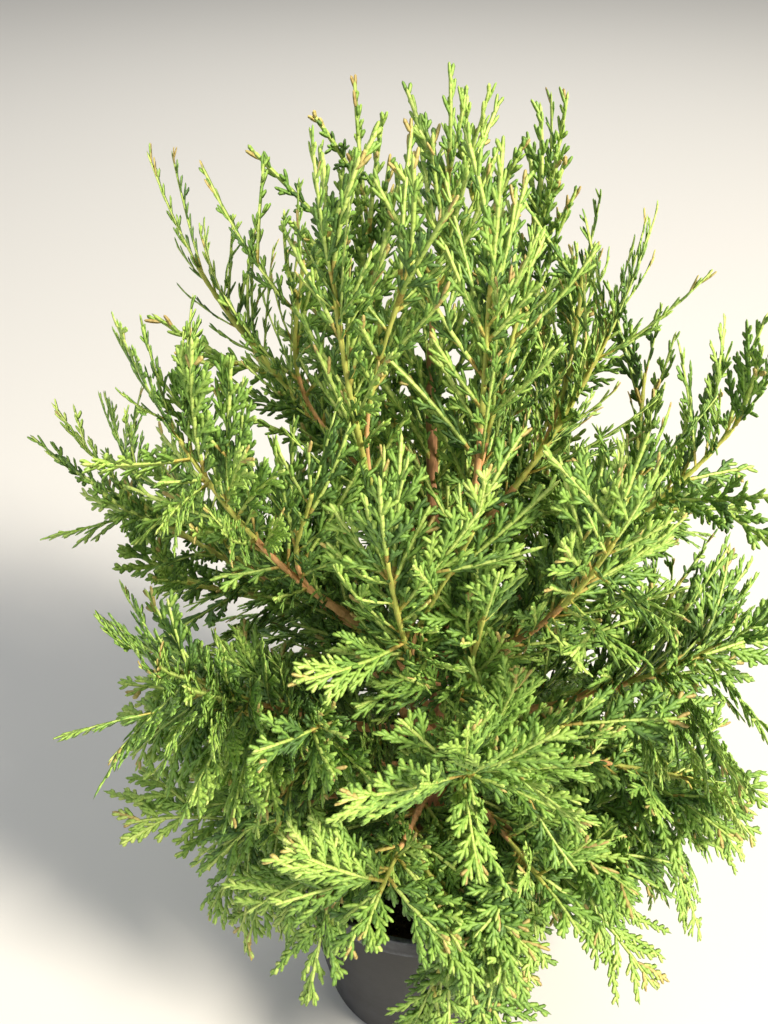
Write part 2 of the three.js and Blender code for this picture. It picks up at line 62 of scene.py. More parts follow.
# The source's own values, which place the limbs and the main fronds where the solids have them.
GAP = 0.3
POT = SimpleNamespace(
    foot=69.0, corner=4.0, wall=2.0, floor=3.0, band=17.0, band_step=2.4, lip=3.2, lip_step=1.3,
    holes=6, hole=5.0, hole_circle=46.0)
TRUNK = SimpleNamespace(
    foot=7.0, top=2.1, flare=4.5, flare_height=11.0, lobes=5, lobe_depth=0.22, sway_x=5.0,
    waves_x=1.5, sway_y=-6.0, sides=10, steps=19)
LIMB = SimpleNamespace(
    radius=1.6, per_length=0.0085, bough_tip=1.9, stem_most=2.6, stem_tip=0.9, sides=5,
    stem_sides=3, start_pull=0.36, end_pull=0.3, steps=8)
BOUGH_SHARE = 0.36
STEM_SHARE = 0.76
FROND = SimpleNamespace(
    teeth=4, short_teeth=3, short_length=86, stalk=0.13, half_width=0.34, forward=math.radians(40),
    tip_curl=0.12, back_bend=0.08, end_share=0.94, clearance=1.1, apart=6, opened=0.82,
    opens_at=0.2, roundness=0.8, tooth_tip=0.08, tooth_parts=(0.35, 0.7, 1), wall_room=1, lap=0.02)
PLACING = SimpleNamespace(
    tries=70, first=0.08, span=0.88, lean_at_foot=1.15, lean_lost=0.3, lean_spread=20,
    length_lost=0.25, longest=1.1, length_spread=0.7, twist_spread=46, length_worth=0.1)
TIER_SEED = 100
LEADER_SEED = 700

# Each mass is [bearing in degrees, reach from the axis, height of its tip]. Only the masses that
# bared names grow from a bough, or all of them where it isn't given.
TIERS = [
    dict(name="low", height=174, step=4, rise=30, tip_rise=-44, fronds=5, frond_length=100,
         fullness=1.0, spread=52, facing=(0.75, 0.8), curl=-0.2,
         masses=dict(front=(-86, 142, 146), front_left=(-128, 140, 196), left=(-160, 152, 176),
                     back_left=(162, 164, 170), back=(100, 168, 160), back_right=(46, 170, 164),
                     right=(-14, 190, 178), front_right=(-44, 160, 205))),
    dict(name="lower_middle", height=212, step=4, rise=24, tip_rise=8, fronds=5, frond_length=104,
         fullness=1.0, spread=56, facing=(0.75, 0.7), curl=-0.08,
         masses=dict(front=(-104, 160, 250), front_right=(-64, 166, 246), right=(-20, 204, 258),
                     back_right=(66, 178, 256), back_left=(128, 180, 260),
                     left=(-166, 180, 316))),
    dict(name="middle", height=252, step=4, rise=28, tip_rise=56, bared=("front_left", "right"),
         fronds=6, frond_length=100, fullness=1.0, spread=58, facing=(0.9, 0.4), curl=0.04,
         masses=dict(front=(-84, 150, 372), right=(-24, 184, 402), back_right=(32, 182, 386),
                     back=(92, 174, 382), back_left=(154, 184, 386),
                     front_left=(-150, 184, 400))),
    dict(name="upper", height=306, step=5, rise=36, tip_rise=76,
         bared=("front_right", "front_left"), fronds=6, frond_length=88, fullness=0.9, spread=50,
         facing=(0.9, 0.25), curl=0.08,
         masses=dict(front=(-106, 112, 492), front_right=(-52, 134, 500), right=(-4, 166, 510),
                     back_right=(52, 150, 502), back=(112, 142, 506), left=(178, 194, 462),
                     front_left=(-152, 154, 546))),
    dict(name="heart", height=284, step=3, rise=40, tip_rise=66, bared=(), fronds=4,
         frond_length=82, fullness=1.0, spread=60, facing=(0.9, 0.4), curl=0.04,
         masses=dict(front=(-78, 104, 440), right=(12, 96, 432), back=(78, 92, 430),
                     left=(-176, 100, 436))),
    dict(name="top", height=372, step=6, rise=54, tip_rise=82, bared=("front",), fronds=4,
         frond_length=76, fullness=0.62, spread=38, facing=(0.9, 0.1), curl=0.12,
         masses=dict(front=(-70, 52, 604), right=(-10, 90, 568), back_right=(44, 80, 598),
                     back_left=(122, 78, 600), left=(172, 134, 582),
                     front_left=(-140, 72, 608))),
]
LEADER = dict(
    fronds=6, frond_length=66, fullness=0.6, spread=32, facing=(0.8, 0.1), curl=0.12,
    tip_height=622, straight=40, bend=(3, -4), bend_below_tip=45, bearing=-60, reach=60)

# From here on the growth is finer than the solids'. Every kind has its own run of numbers, which
# starts this far from its limb's seed.
SEEDS = SimpleNamespace(inner=50, forks=80, shoot=1000, trunk=1, trunk_sprigs=2, soil=11)
# How high the new growth may stand over the tip of a low mass, of any other mass and of a shoot.
ROOM_ABOVE = SimpleNamespace(low=60, other=8, shoot=10)
# Fronds that fill the space between the main ones. Their shade is painted shade, which deepens
# their tints.
FILL = SimpleNamespace(places=8, tries=24, apart=3.0, longest=0.9, shortest=0.5, shade=0.1)
# Fronds on a limb's inner length, over its upper half or all round it. Their shade is painted shade
# for the crown's inside, which deepens their tints.
INNER = SimpleNamespace(
    tries=16, first=0.07, lean_spread=40, upper_half=1.6, all_round=2.0, shade=0.2, wobble=0.14,
    slimmest=0.78, fullest=1.08, twist_spread=92)
# For each tier: how many inner fronds, the share of the limb that they fill, how far they lean
# out, and their shortest and longest.
INNER_TIERS = dict(
    low=(7, 0.62, 42, 56, 92), lower_middle=(12, 0.66, 40, 56, 92), middle=(15, 0.78, 34, 54, 90),
    upper=(16, 0.9, 27, 46, 80), heart=(12, 0.7, 34, 50, 80), top=(13, 0.86, 22, 40, 70))
LEADER_INNER = (6, 0.7, 24, 36, 60)
# The upper trunk carries fronds of its own, between two heights.
BARE_TRUNK = SimpleNamespace(low=262, high=492, bearing=-90, reach=110, inner=(26, 1.0, 44, 46, 76))
# Between two neighbouring masses a side shoot grows up from one of their limbs.
SHOOT = SimpleNamespace(
    root=0.3, radius=1.5, start_pull=0.42, end_pull=0.34, inner=(5, 0.76, 29, 42, 74))
# A shoot's reach and height as against its neighbours', and the rise of its tip.
SHOOT_TIERS = dict(
    lower_middle=(0.86, -6, 44), middle=(0.84, -8, 66), upper=(0.84, -6, 78), top=(0.92, -4, 82))
# A long frond forks: its side frond starts a third of the way up and tilts out of its plane. Its
# tint carries a little less painted shade than its parent's.
FORK = SimpleNamespace(
    longer_than=64, chance=0.5, first=0.24, spread=0.26, lean=30, lean_spread=14, tilt=22,
    tilt_spread=34, shortest=0.46, longest=0.68, upwards=0.75, less_painted_shade=0.06)
# Short sprigs that cover a limb's outer length between its fronds, and the upper trunk.
SPRIG = SimpleNamespace(
    step=12.0, first=0.34, last=0.75, lean=34, lean_spread=18, shortest=18, longest=33)
TRUNK_SPRIG = SimpleNamespace(
    step=5.5, first=0.1, last=1.0, lean=26, lean_spread=22, shortest=24, longest=44)
EVERY_SPRIG = SimpleNamespace(fullness=0.85, twist_spread=90)
# Gaps that stay open in the crown, each a ball that no frond enters: three where the pot's rim
# shows, and two at the lower left, where the crown draws in.
OPENINGS = ((-25, -104, 164, 20), (-26, -126, 198, 24), (-26, -162, 252, 22),
            (-205, -62, 258, 31), (-182, -122, 318, 24))

# A frond's side branches.
SPRAY = SimpleNamespace(
    side_step=5.4, fewest=4, stagger=0.3, start=0.04, end=0.97, side_bend=0.16, angle_spread=8,
    lift=0.12, droop=0.14, sway=0.15, shortest=5.0, shortest_share=0.5, longest_share=1.15,
    shorter_side=0.8, branch_width=3.0, thin_branch=0.72, full_branch=60, rib_width=3.0,
    thin_rib=0.7, rib_growth=0.3, full_rib=100, thickness=0.5, thinned=0.3, crest=0.5, keel=0.25)
# A side branch's twiglets, which are longest near its foot.
TWIG = SimpleNamespace(
    step=2.35, first=2.6, last=1.5, width=2.85, widths=(0.88, 1.1), length=6.2, tip_length=4.8,
    more=4.6, more_from=40, lengths=(0.8, 1.2), plain=0.75, by_fullness=0.25, angle=32, bend=0.12)
# The longest twiglets carry short ones: at which share, and on which side.
LONG_TWIG = SimpleNamespace(
    longer_than=8.8, places=((0.36, 1), (0.58, -1), (0.78, 1)), part=0.5, least=2.4,
    lengths=(0.85, 1.15), widths=(0.86, 1.0))
# For each tier: the angle between a rib and its side branches at its foot and at its tip, how
# much sooner the side branches shorten towards the tip, and how slim the growth is.
OUTLINES = dict(
    low=(50, 30, 0.0, 1.0), lower_middle=(48, 28, 0.0, 1.0), middle=(42, 24, 0.1, 1.0),
    heart=(42, 24, 0.1, 1.0), upper=(36, 17, 0.3, 0.9), top=(32, 13, 0.4, 0.79))
# A blade's outline: shares of its length, and half widths on its left and right, each of the
# scale leaves standing out a little. The twiglet ends blunt, and the longer blades taper.
TWIGLET = SimpleNamespace(shares=(0.24, 0.83), left=(0.94, 0.88), right=(0.9, 0.92))
BRANCH = SimpleNamespace(
    shares=(0.08, 0.34, 0.68, 0.93), left=(0.62, 0.9, 1.02, 0.68), right=(0.62, 1.0, 0.94, 0.72))
RIB = SimpleNamespace(
    shares=(0.02, 0.17, 0.36, 0.57, 0.78, 0.96), left=(0.9, 0.94, 0.9, 0.86, 0.86, 0.78),
    right=(0.9, 0.96, 0.88, 0.88, 0.84, 0.8))
# The tints of green from the inside of a spray to its edge, where each of the first ones stops,
# and how a branch's and a twiglet's tint moves outwards along the rib, along it and by chance.
# A frond's shade is painted shade: it moves all its tints towards the deep ones.
TINTS = ("deep", "leaf", "fresh", "young", "rind", "bronze")
TINT_STOPS = (0.3, 0.56, 0.88)
TINTING = SimpleNamespace(
    spread=0.09, along_rib=0.5, branch=0.2, branch_chance=0.25, along_branch=0.3, twig_chance=0.42,
    bronzed=0.1, bronzed_from=0.55, tipped=0.3, tipped_from=0.8)
# How long one pair of scale leaves is, and how many triangles a blade has up to its second ring.
SCALE_PITCH = 2.3
FOOT_TRIANGLES = 9

# The outer wood is slimmer than the solid's. It swells at each knot, where a frond leaves it, and
# flares at its foot, which is seated in the trunk.
SLIM = 0.74
KNOT = SimpleNamespace(swell=0.3, length=1.9, ring=2.0)
FOOT = SimpleNamespace(swell=0.45, length=5.0, stem_seat=3.0, bough_seat=0.7, seated=1.8)
# The meshes of a mass's stem, a bough and the trunk.
STEM = SimpleNamespace(fewest=6, sides=8, samples=40, orange=0.36, aside=(0.3, 0.9, 0.1))
BOUGH = SimpleNamespace(steps=36, section=5, lap=0.01, merge=0.01)
TRUNK_SKIN = SimpleNamespace(rings=110, sides=36, sunk=4, seed=3.0)
# How far the bark's strips stand out, how close they lie round a limb and how far each runs along
# it, and the finer strips' share and how much closer they lie, on large limbs and on stems.
LIMB_BARK = SimpleNamespace(depth=0.16, strip=1.6, stretch=7.0)
TRUNK_BARK = SimpleNamespace(depth=0.12, strip=2.4, stretch=16.0)
FINE_BARK = SimpleNamespace(share=0.5, closer=2.6, round_stem=3, along_stem=2)

# The pot's mesh: its rings, how its wall and band slope, and its softened edges.
POT_SKIN = SimpleNamespace(
    sides=128, corner=(0, 30, 60, 90), draft=0.6, ledge=0.2, rim=0.01, middle=8.0, bevel=0.5,
    bevel_from=24, smooth_to=32, hole_sides=24)
# The soil falls towards the pot's wall and has lumps, which lie a little below its CAD top.
SOIL = SimpleNamespace(
    sides=96, rings=24, outer=0.96, inner=0.04, fall=3, roundness=4, seat=1, top=0.5, inside=0.99,
    lump=9, lump_height=1.6, sunk=0.9, fractal=(0.8, 2.0, 4))
# How many crumbs and chips lie on it, their shapes and sizes, and how rough and sunk they are.
CRUMB = SimpleNamespace(
    crumbs=1500, chips=130, crumb=(1, 1, 0.8), crumb_sizes=(0.5, 1.7), chip=(5.0, 2.2, 0.7),
    chip_sizes=(0.7, 1.2), rough=(0.7, 1.25), nearest=0.01, sunk=0.5, size=1.9)


def random_from(seed):
    """A seeded run of numbers from 0 to 1, the same as the source's."""
    state = seed

    def draw():
        nonlocal state
        state = (state * 1664525 + 1013904223) % 2 ** 32
        return state / 2 ** 32
    return draw


def unit(vector):
    """A vector at length one."""
    return vector / np.linalg.norm(vector)


def units(rows):
    """Every row of an array at length one."""
    return rows / np.linalg.norm(rows, axis=1)[:, None]


def around(bearing, reach, height):
    """From a bearing, a distance from the axis and a height to a point."""
    angle = math.radians(bearing)
    return np.array([reach * math.cos(angle), reach * math.sin(angle), height])


def rising(bearing, rise):
    """The direction with this bearing and this rise over level."""
    angle = math.radians(rise)
    return around(bearing, math.cos(angle), math.sin(angle))


def up_trunk(height):
    """A height as a share of the trunk's length, and how much of the root flare is left there."""
    over_soil = height - SOIL_TOP
    return over_soil / (TRUNK_TOP - SOIL_TOP), math.exp(-over_soil / TRUNK.flare_height)


def trunk_centre(height):
    """The middle of the trunk at a height, with its sway."""
    share, _ = up_trunk(height)
    return np.array([TRUNK.sway_x * math.sin(math.pi * TRUNK.waves_x * share),
                     TRUNK.sway_y * math.sin(math.pi * share), height])


def trunk_radius(height):
    """The trunk's taper, with its root flare."""
    share, flare = up_trunk(height)
    return TRUNK.foot + (TRUNK.top - TRUNK.foot) * share + TRUNK.flare * flare


def trunk_lobe(height, angle):
    """The root flare's lobes, which fade upwards."""
    _, flare = up_trunk(height)
    return 1 + TRUNK.lobe_depth * flare * math.cos(TRUNK.lobes * angle)


def trunk_skin(height, bearing):
    """From the trunk's centre to the solid's flat-sided skin, in one direction."""
    angle = math.radians(bearing + 360)
    wedge = 2 * math.pi / TRUNK.sides
    flat = math.cos(wedge / 2) / math.cos((angle % wedge) - wedge / 2)
    return trunk_radius(height) * trunk_lobe(height, angle) * flat


class Line:
    """A cubic curve along a limb and its mass."""

    def __init__(self, *corners):
        self.corners = corners

    def point(self, share):
        a, b, c, d = self.corners
        back = 1 - share
        return (back ** 3 * a + 3 * back ** 2 * share * b + 3 * back * share ** 2 * c
                + share ** 3 * d)

    def points(self, start, end, count):
        return np.array([self.point(share) for share in np.linspace(start, end, count)])

    def tangent(self, share):
        step = 0.0001
        return unit(self.point(min(1, share + step)) - self.point(max(0, share - step)))


def pulled_line(start, along, tip, tip_along, length, rule):
    """A curve that leaves its start and reaches its tip in two given directions."""
    return Line(start, start + along * length * rule.start_pull,
                tip - tip_along * length * rule.end_pull, tip)


def limb_line(tier, bearing, height, tip, ring_radius, ring_sides):
    """From the trunk's skin to the mass's furthest tip."""
    centre = trunk_centre(height)
    lean = (ring_radius * math.cos(math.pi / (2 * ring_sides))
            * math.sin(math.radians(tier["rise"])))
    start = centre + around(bearing, 1, 0) * (trunk_skin(height, bearing) + GAP + lean)
    return pulled_line(start, rising(bearing, tier["rise"]), tip,
                       rising(bearing, tier["tip_rise"]), np.linalg.norm(tip - centre), LIMB)


def share_of_gap(line, at):
    """The gap between a bough and its stem as a share of their line."""
    step = 0.01
    return step * GAP / np.linalg.norm(line.point(at) - line.point(at + step))


def new_limb(radius, **facts):
    """What is known of a limb, a thin one that carries foliage from its foot unless told."""
    plain = dict(radius=radius, stem_radius=radius, stem_from=0, bared=False, seat=0,
                 turn=INNER.all_round, in_front=True)
    return SimpleNamespace(**{**plain, **facts})


def limb_plan():
    """Every limb with its mass, in the order in which they leave the trunk."""
    limbs = []
    for level, tier in enumerate(TIERS):
        for place, (side, (bearing, reach, tip_height)) in enumerate(tier["masses"].items()):
            bared = side in tier.get("bared", tier["masses"])
            # Neighbours leave the trunk at different heights, from three steps down to three up.
            height = tier["height"] + tier["step"] * ((place * 3) % 7 - 3)
            tip = around(bearing, reach, tip_height)
            radius = LIMB.radius + LIMB.per_length * np.linalg.norm(tip - trunk_centre(height))
            ring_radius = radius if bared else min(radius, LIMB.stem_most)
            line = limb_line(tier, bearing, height, tip, ring_radius,
                             LIMB.sides if bared else LIMB.stem_sides)
            limbs.append(new_limb(
                radius, name=f"{tier['name']}_{side}", tier=tier["name"], rule=tier,
                seed=TIER_SEED * (level + 1) + place, bearing=bearing, line=line, bared=bared,
                stem_from=BOUGH_SHARE + share_of_gap(line, BOUGH_SHARE) if bared else 0,
                stem_radius=LIMB.bough_tip if bared else ring_radius,
                seat=0 if bared else FOOT.stem_seat, reach=reach,
                top=tip_height + (ROOM_ABOVE.other if level > 0 else ROOM_ABOVE.low),
                turn=INNER.upper_half, inner=INNER_TIERS[tier["name"]],
                in_front=math.sin(math.radians(bearing)) < 0))
    foot, tip_height = trunk_centre(TRUNK_TOP), LEADER["tip_height"]
    line = Line(foot + UP * GAP, foot + UP * LEADER["straight"],
                np.array([*LEADER["bend"], tip_height - LEADER["bend_below_tip"]], float),
                UP * tip_height)
    limbs.append(new_limb(TRUNK.top, name="leader", tier="top", rule=LEADER, seed=LEADER_SEED,
                          bearing=LEADER["bearing"], line=line, reach=LEADER["reach"],
                          top=tip_height, inner=LEADER_INNER))
    return limbs


def side_shoots(limbs):
    """One shoot from every limb towards the middle of the space before the tier's next mass."""
    shoots = []
    for tier in TIERS:
        if tier["name"] not in SHOOT_TIERS:
            continue
        share, drop, tip_rise = SHOOT_TIERS[tier["name"]]
        members = sorted((limb for limb in limbs if limb.rule is tier),
                         key=lambda limb: limb.bearing)
        for limb, after in zip(members, members[1:] + members[:1]):
            bearing = limb.bearing + ((after.bearing - limb.bearing) % 360) / 2
            ends = [limb.line.point(1), after.line.point(1)]
            height = min(end[2] for end in ends) + drop
            tip = around(bearing, share * min(math.hypot(*end[:2]) for end in ends), height)
            start = limb.line.point(SHOOT.root)
            line = pulled_line(start, limb.line.tangent(SHOOT.root), tip,
                               rising(bearing, tip_rise), np.linalg.norm(tip - start), SHOOT)
            shoots.append(new_limb(
                SHOOT.radius, name=f"{limb.name}_shoot", tier=limb.tier, rule=tier,
                seed=limb.seed + SEEDS.shoot, bearing=bearing, line=line,
                top=height + ROOM_ABOVE.shoot, reach=max(limb.reach, after.reach),
                inner=SHOOT.inner, in_front=limb.in_front))
    return shoots


def trunk_as_limb(leader):
    """The trunk's upper length, whose fronds go with the leader's."""
    low, high = BARE_TRUNK.low, BARE_TRUNK.high
    corners = [trunk_centre(low + (high - low) * part / 3) for part in range(4)]
    return new_limb(TRUNK.top, name=leader.name, line=Line(*corners), rule=leader.rule,
                    seed=leader.seed + SEEDS.trunk, bearing=BARE_TRUNK.bearing, top=leader.top,
                    reach=BARE_TRUNK.reach, inner=BARE_TRUNK.inner)


class Measure:
    """Straight pieces of centre lines, for measuring the distance from points to each."""

    def __init__(self, chains):
        """Each chain is its points and its radii."""
        self.start = np.concatenate([points[:-1] for points, _ in chains])
        self.along = np.concatenate([points[1:] for points, _ in chains]) - self.start
        self.square = (self.along ** 2).sum(1)
        self.radius = np.concatenate([radii[:-1] for _, radii in chains])
        self.growth = np.concatenate([radii[1:] for _, radii in chains]) - self.radius

    def distances(self, points):
        """From every point to every piece's skin."""
        offset = points[:, None, :] - self.start[None]
        dot = (offset * self.along).sum(2)
        share = np.clip(dot / self.square, 0, 1)
        square = (offset ** 2).sum(2) - 2 * share * dot + share ** 2 * self.square
        return np.sqrt(np.maximum(square, 0)) - (self.radius + self.growth * share)


def limb_chain(line, start, end, radius_from, radius_to):
    """A limb's centre line in the steps in which the source measures it."""
    return (line.points(start, end, LIMB.steps + 1),
            np.linspace(radius_from, radius_to, LIMB.steps + 1))


def trunk_chain():
    """The trunk's centre line in the source's steps."""
    heights = [SOIL_TOP + (TRUNK_TOP - SOIL_TOP) * step / TRUNK.steps
               for step in range(TRUNK.steps + 1)]
    return (np.array([trunk_centre(height) for height in heights]),
            np.array([trunk_radius(height) for height in heights]))


LIMBS = limb_plan()
BOUGHS = [limb for limb in LIMBS if limb.bared]
SHOOTS = side_shoots(LIMBS)
WOOD = Measure([trunk_chain()] + [limb_chain(limb.line, 0, BOUGH_SHARE, limb.radius,
                                             LIMB.bough_tip) for limb in BOUGHS])
SPACES = Measure([limb_chain(limb.line, limb.stem_from, 1, 0, 0) for limb in LIMBS])


def rib_point(frond, share):
    """A point, or several, on a frond's rib, which bends towards the bend vector."""
    share = np.asarray(share, float)[..., None]
    return frond.root + frond.along * frond.length * share + frond.bend * frond.length * share ** 2


def frond_half_width(frond, share):
    """Half a frond's width at a share of its rib: it opens from the stalk and rounds off."""
    opened = (np.asarray(share, float) - FROND.stalk) / (1 - FROND.stalk)
    arc = np.pi * np.clip(opened * FROND.opened + FROND.opens_at, 0, 1)
    return frond.length * FROND.half_width * np.sin(arc) ** FROND.roundness * frond.fullness


def frond_samples(frond):
    """Points on a frond, close enough together to test where it lies."""
    teeth = FROND.short_teeth if frond.length < FROND.short_length else FROND.teeth
    shares = FROND.stalk + (FROND.end_share - FROND.stalk) * np.arange(teeth + 1) / teeth
    forward = math.cos(FROND.forward)
    aside = math.sin(FROND.forward)
    roots = rib_point(frond, shares[:-1])
    reach = (frond_half_width(frond, shares[:-1]) / aside)[:, None]
    groups = [rib_point(frond, [1.0]), rib_point(frond, shares),
              rib_point(frond, shares[:-1] + FROND.tooth_tip)]
    for side in (1, -1):
        arm = reach * (frond.along * forward + side * frond.across * aside
                       - frond.face * FROND.tip_curl)
        groups += [roots + arm * part for part in FROND.tooth_parts]
    return np.concatenate(groups)


def clears_pot(points):
    """True where every point is above the rim or outside the wall, and out of the openings."""
    for x, y, z, radius in OPENINGS:
        if ((points - [x, y, z]) ** 2).sum(1).min() < radius ** 2:
            return False
    from_axis = np.hypot(points[:, 0], points[:, 1])
    wall = POT.foot + (POT_RIM - POT.foot) * points[:, 2] / POT_TOP
    below_rim = points[:, 2] < POT_TOP + FROND.clearance
    return not np.any(below_rim & (from_axis < wall + FROND.clearance + FROND.wall_room))


def has_room(points, mass):
    """True where a frond's points clear the pot and the limbs, inside their mass's space."""
    if not clears_pot(points):
        return False
    away = SPACES.distances(points).reshape(len(points), -1, LIMB.steps).min(2)
    own = away[:, mass].copy()
    away[:, mass] = np.inf
    if np.any(away.min(1) <= own + 2 * FROND.clearance):
        return False
    return WOOD.distances(points).min() >= FROND.clearance


def within(points, limb):
    """True where a frond stays inside its mass's height and its reach from the axis."""
    from_axis = np.hypot(points[:, 0], points[:, 1])
    return points[:, 2].max() < limb.top and from_axis.max() < limb.reach


def finish_frond(limb, root, along, length, twist):
    """Its flat side looks outwards and upwards as the tier's rule says, then turns by the twist."""
    look = around(limb.bearing, *limb.rule["facing"])
    face = unit(look - along * look.dot(along))
    angle = math.radians(twist)
    face = face * math.cos(angle) + np.cross(along, face) * math.sin(angle)
    return SimpleNamespace(root=root, along=along, face=face, across=np.cross(face, along),
                           bend=UP * limb.rule["curl"] - face * FROND.back_bend, length=length,
                           fullness=limb.rule["fullness"], shade=0.0)


def frond_at(limb, at, roll, lean, length, twist):
    """One frond at a share of a limb's line, turned round it by roll and leaning out."""
    tangent = limb.line.tangent(at)
    across = np.cross(UP, around(limb.bearing, 1, 0))
    over = np.cross(tangent, across)
    angle = math.radians(lean)
    along = unit(tangent * math.cos(angle)
                 + (across * math.cos(roll) + over * math.sin(roll)) * math.sin(angle))
    return finish_frond(limb, limb.line.point(at), along, length, twist)


def end_frond(limb):
    """The stem's last frond reaches the mass's furthest tip."""
    root = limb.line.point(STEM_SHARE - FROND.lap)
    reach = limb.line.point(1) - root
    bend = finish_frond(limb, root, unit(reach), 1, 0).bend
    length = np.linalg.norm(reach) / (1 + 0.5 * bend.dot(bend))
    return finish_frond(limb, root, unit(reach - bend * length), length, 0)


def roomiest(limb, mass, share, lengths, tries, apart, random, taken, kept_in):
    """The frond of several tries that lies furthest from those already taken."""
    best, best_score = None, -1.0
    at = limb.stem_from + (STEM_SHARE - limb.stem_from) * share
    for _ in range(tries):
        roll = 2 * math.pi * random()
        lean = (limb.rule["spread"] * (PLACING.lean_at_foot - PLACING.lean_lost * share)
                + (random() - 0.5) * PLACING.lean_spread)
        length = (limb.rule["frond_length"] * (1 - PLACING.length_lost * share)
                  * (lengths[0] - lengths[1] * random()))
        frond = frond_at(limb, at, roll, lean, length, (random() - 0.5) * PLACING.twist_spread)
        samples = frond_samples(frond)
        if kept_in and not within(samples, limb) or not has_room(samples, mass):
            continue
        near = math.sqrt(((samples[:, None] - taken[None]) ** 2).sum(2).min())
        score = near + PLACING.length_worth * length
        if near > apart and score > best_score:
            best, best_score = (frond, samples), score
    return best


def fronds_of(limb, mass):
    """The solid's own fronds, by its rule, and then shorter ones that fill the space between."""
    random = random_from(limb.seed)
    chosen = [end_frond(limb)]
    taken = frond_samples(chosen[0])
    passes = [(limb.rule["fronds"], (PLACING.longest, PLACING.length_spread), PLACING, FROND, 0.0),
              (FILL.places, (FILL.longest, FILL.longest - FILL.shortest), FILL, FILL, FILL.shade)]
    for places, lengths, trying, spacing, shade in passes:
        for place in range(places):
            share = PLACING.first + PLACING.span * ((place + 0.5) / places)
            best = roomiest(limb, mass, share, lengths, trying.tries, spacing.apart, random,
                            taken, kept_in=trying is FILL)
            if best:
                frond, samples = best
                frond.shade = shade
                chosen.append(frond)
                taken = np.concatenate([taken, samples])
    return chosen


def nearness(points):
    """A tree of points that tells the distance from a point to the nearest of them."""
    tree = KDTree(len(points))
    for place, point in enumerate(points):
        tree.insert(point, place)
    tree.balance()
    return tree


def inner_fronds(limb, tree):
    """Shorter fronds on a limb's inner length, each where the crown is emptiest."""
    random = random_from(limb.seed + SEEDS.inner)
    chosen, taken = [], []
    places, last, lean_out, shortest, longest = limb.inner
    for place in range(places):
        at = INNER.first + (last - INNER.first) * (place + random()) / places
        best, best_room = None, 0.0
        for _ in range(INNER.tries):
            roll = math.pi * (0.5 + (random() - 0.5) * limb.turn)
            lean = lean_out + (random() - 0.5) * INNER.lean_spread
            length = shortest + (longest - shortest) * random()
            frond = frond_at(limb, at, roll, lean, length, (random() - 0.5) * INNER.twist_spread)
            frond.fullness *= INNER.slimmest + (INNER.fullest - INNER.slimmest) * random()
            frond.bend = frond.bend + frond.across * INNER.wobble * (2 * random() - 1)
            frond.shade = INNER.shade
            samples = frond_samples(frond)
            outer = samples[1:]
            if not within(samples, limb) or not clears_pot(samples):
                continue
            room = min(tree.find(point)[2] for point in outer)
            if taken:
                apart = outer[:, None] - np.concatenate(taken)[None]
                room = min(room, np.sqrt((apart ** 2).sum(2)).min())
            if room > best_room and WOOD.distances(outer).min() > GAP:
                best, best_room = (frond, outer), room
        if best:
            chosen.append(best[0])
            taken.append(best[1])
    return chosen


def sprigs(limb, rule, random):
    """Short fronds that stand round a limb, a little apart, as a rule says."""
    made = []
    length = np.linalg.norm(limb.line.point(rule.last) - limb.line.point(rule.first))
    count = round(length / rule.step)
    for place in range(count):
        at = rule.first + (rule.last - rule.first) * (place + random()) / count
        roll = 2 * math.pi * random()
        lean = rule.lean + rule.lean_spread * random()
        size = rule.shortest + (rule.longest - rule.shortest) * random()
        sprig = frond_at(limb, at, roll, lean, size, EVERY_SPRIG.twist_spread * (random() - 0.5))
        sprig.fullness = EVERY_SPRIG.fullness
        # Sprigs take the inner fronds' painted shade.
        sprig.shade = INNER.shade
        if clears_pot(frond_samples(sprig)):
            made.append(sprig)
    return made


def side_frond(frond, random):
    """The smaller frond of a fork, or none."""
    if frond.length < FORK.longer_than or random() > FORK.chance:
        return []
    share = FORK.first + FORK.spread * random()
    lean = math.radians(FORK.lean + FORK.lean_spread * random())
    tilt = math.radians(FORK.tilt + FORK.tilt_spread * random())
    lift = 1 if random() < FORK.upwards else -1
    sign = 1 if random() < 0.5 else -1
    tangent = unit(frond.along + 2 * share * frond.bend)
    aside = frond.across * sign * math.cos(tilt) + frond.face * lift * math.sin(tilt)
    along = unit(tangent * math.cos(lean) + aside * math.sin(lean))
    face = unit(frond.face - along * frond.face.dot(along))
    length = frond.length * (FORK.shortest + (FORK.longest - FORK.shortest) * random())
    made = SimpleNamespace(root=rib_point(frond, share), along=along, face=face, length=length,
                           across=np.cross(face, along), bend=frond.bend,
                           # The side frond's painted shade is a little less than its parent's.
                           fullness=frond.fullness, shade=frond.shade - FORK.less_painted_shade)
    return [made] if clears_pot(frond_samples(made)) else []


def sway(frond, random):
    """Bends a frond a little to one side, unless that brings it into the pot."""
    straight = frond.bend
    frond.bend = straight + frond.across * SPRAY.sway * (2 * random() - 1)
    if not clears_pot(frond_samples(frond)):
        frond.bend = straight


def grow():
    """Every limb's and shoot's fronds by its name: the solid's first, then the finer growth."""
    fronds = {limb.name: fronds_of(limb, mass) for mass, limb in enumerate(LIMBS)}
    fronds.update({shoot.name: [end_frond(shoot)] for shoot in SHOOTS})
    grown = [frond_samples(frond) for ones in fronds.values() for frond in ones]
    trunk = trunk_as_limb(LIMBS[-1])
    for limb in LIMBS + SHOOTS + [trunk]:
        more = inner_fronds(limb, nearness(np.concatenate(grown)))
        fronds[limb.name] += more
        grown += [frond_samples(frond) for frond in more]
    for limb in LIMBS + SHOOTS:
        random = random_from(limb.seed + SEEDS.forks)
        for frond in fronds[limb.name]:
            sway(frond, random)
        forks = [side_frond(frond, random) for frond in fronds[limb.name]]
        fronds[limb.name] += sum(forks, []) + sprigs(limb, SPRIG, random)
    fronds[trunk.name] += sprigs(trunk, TRUNK_SPRIG, random_from(LEADER_SEED + SEEDS.trunk_sprigs))
    return fronds


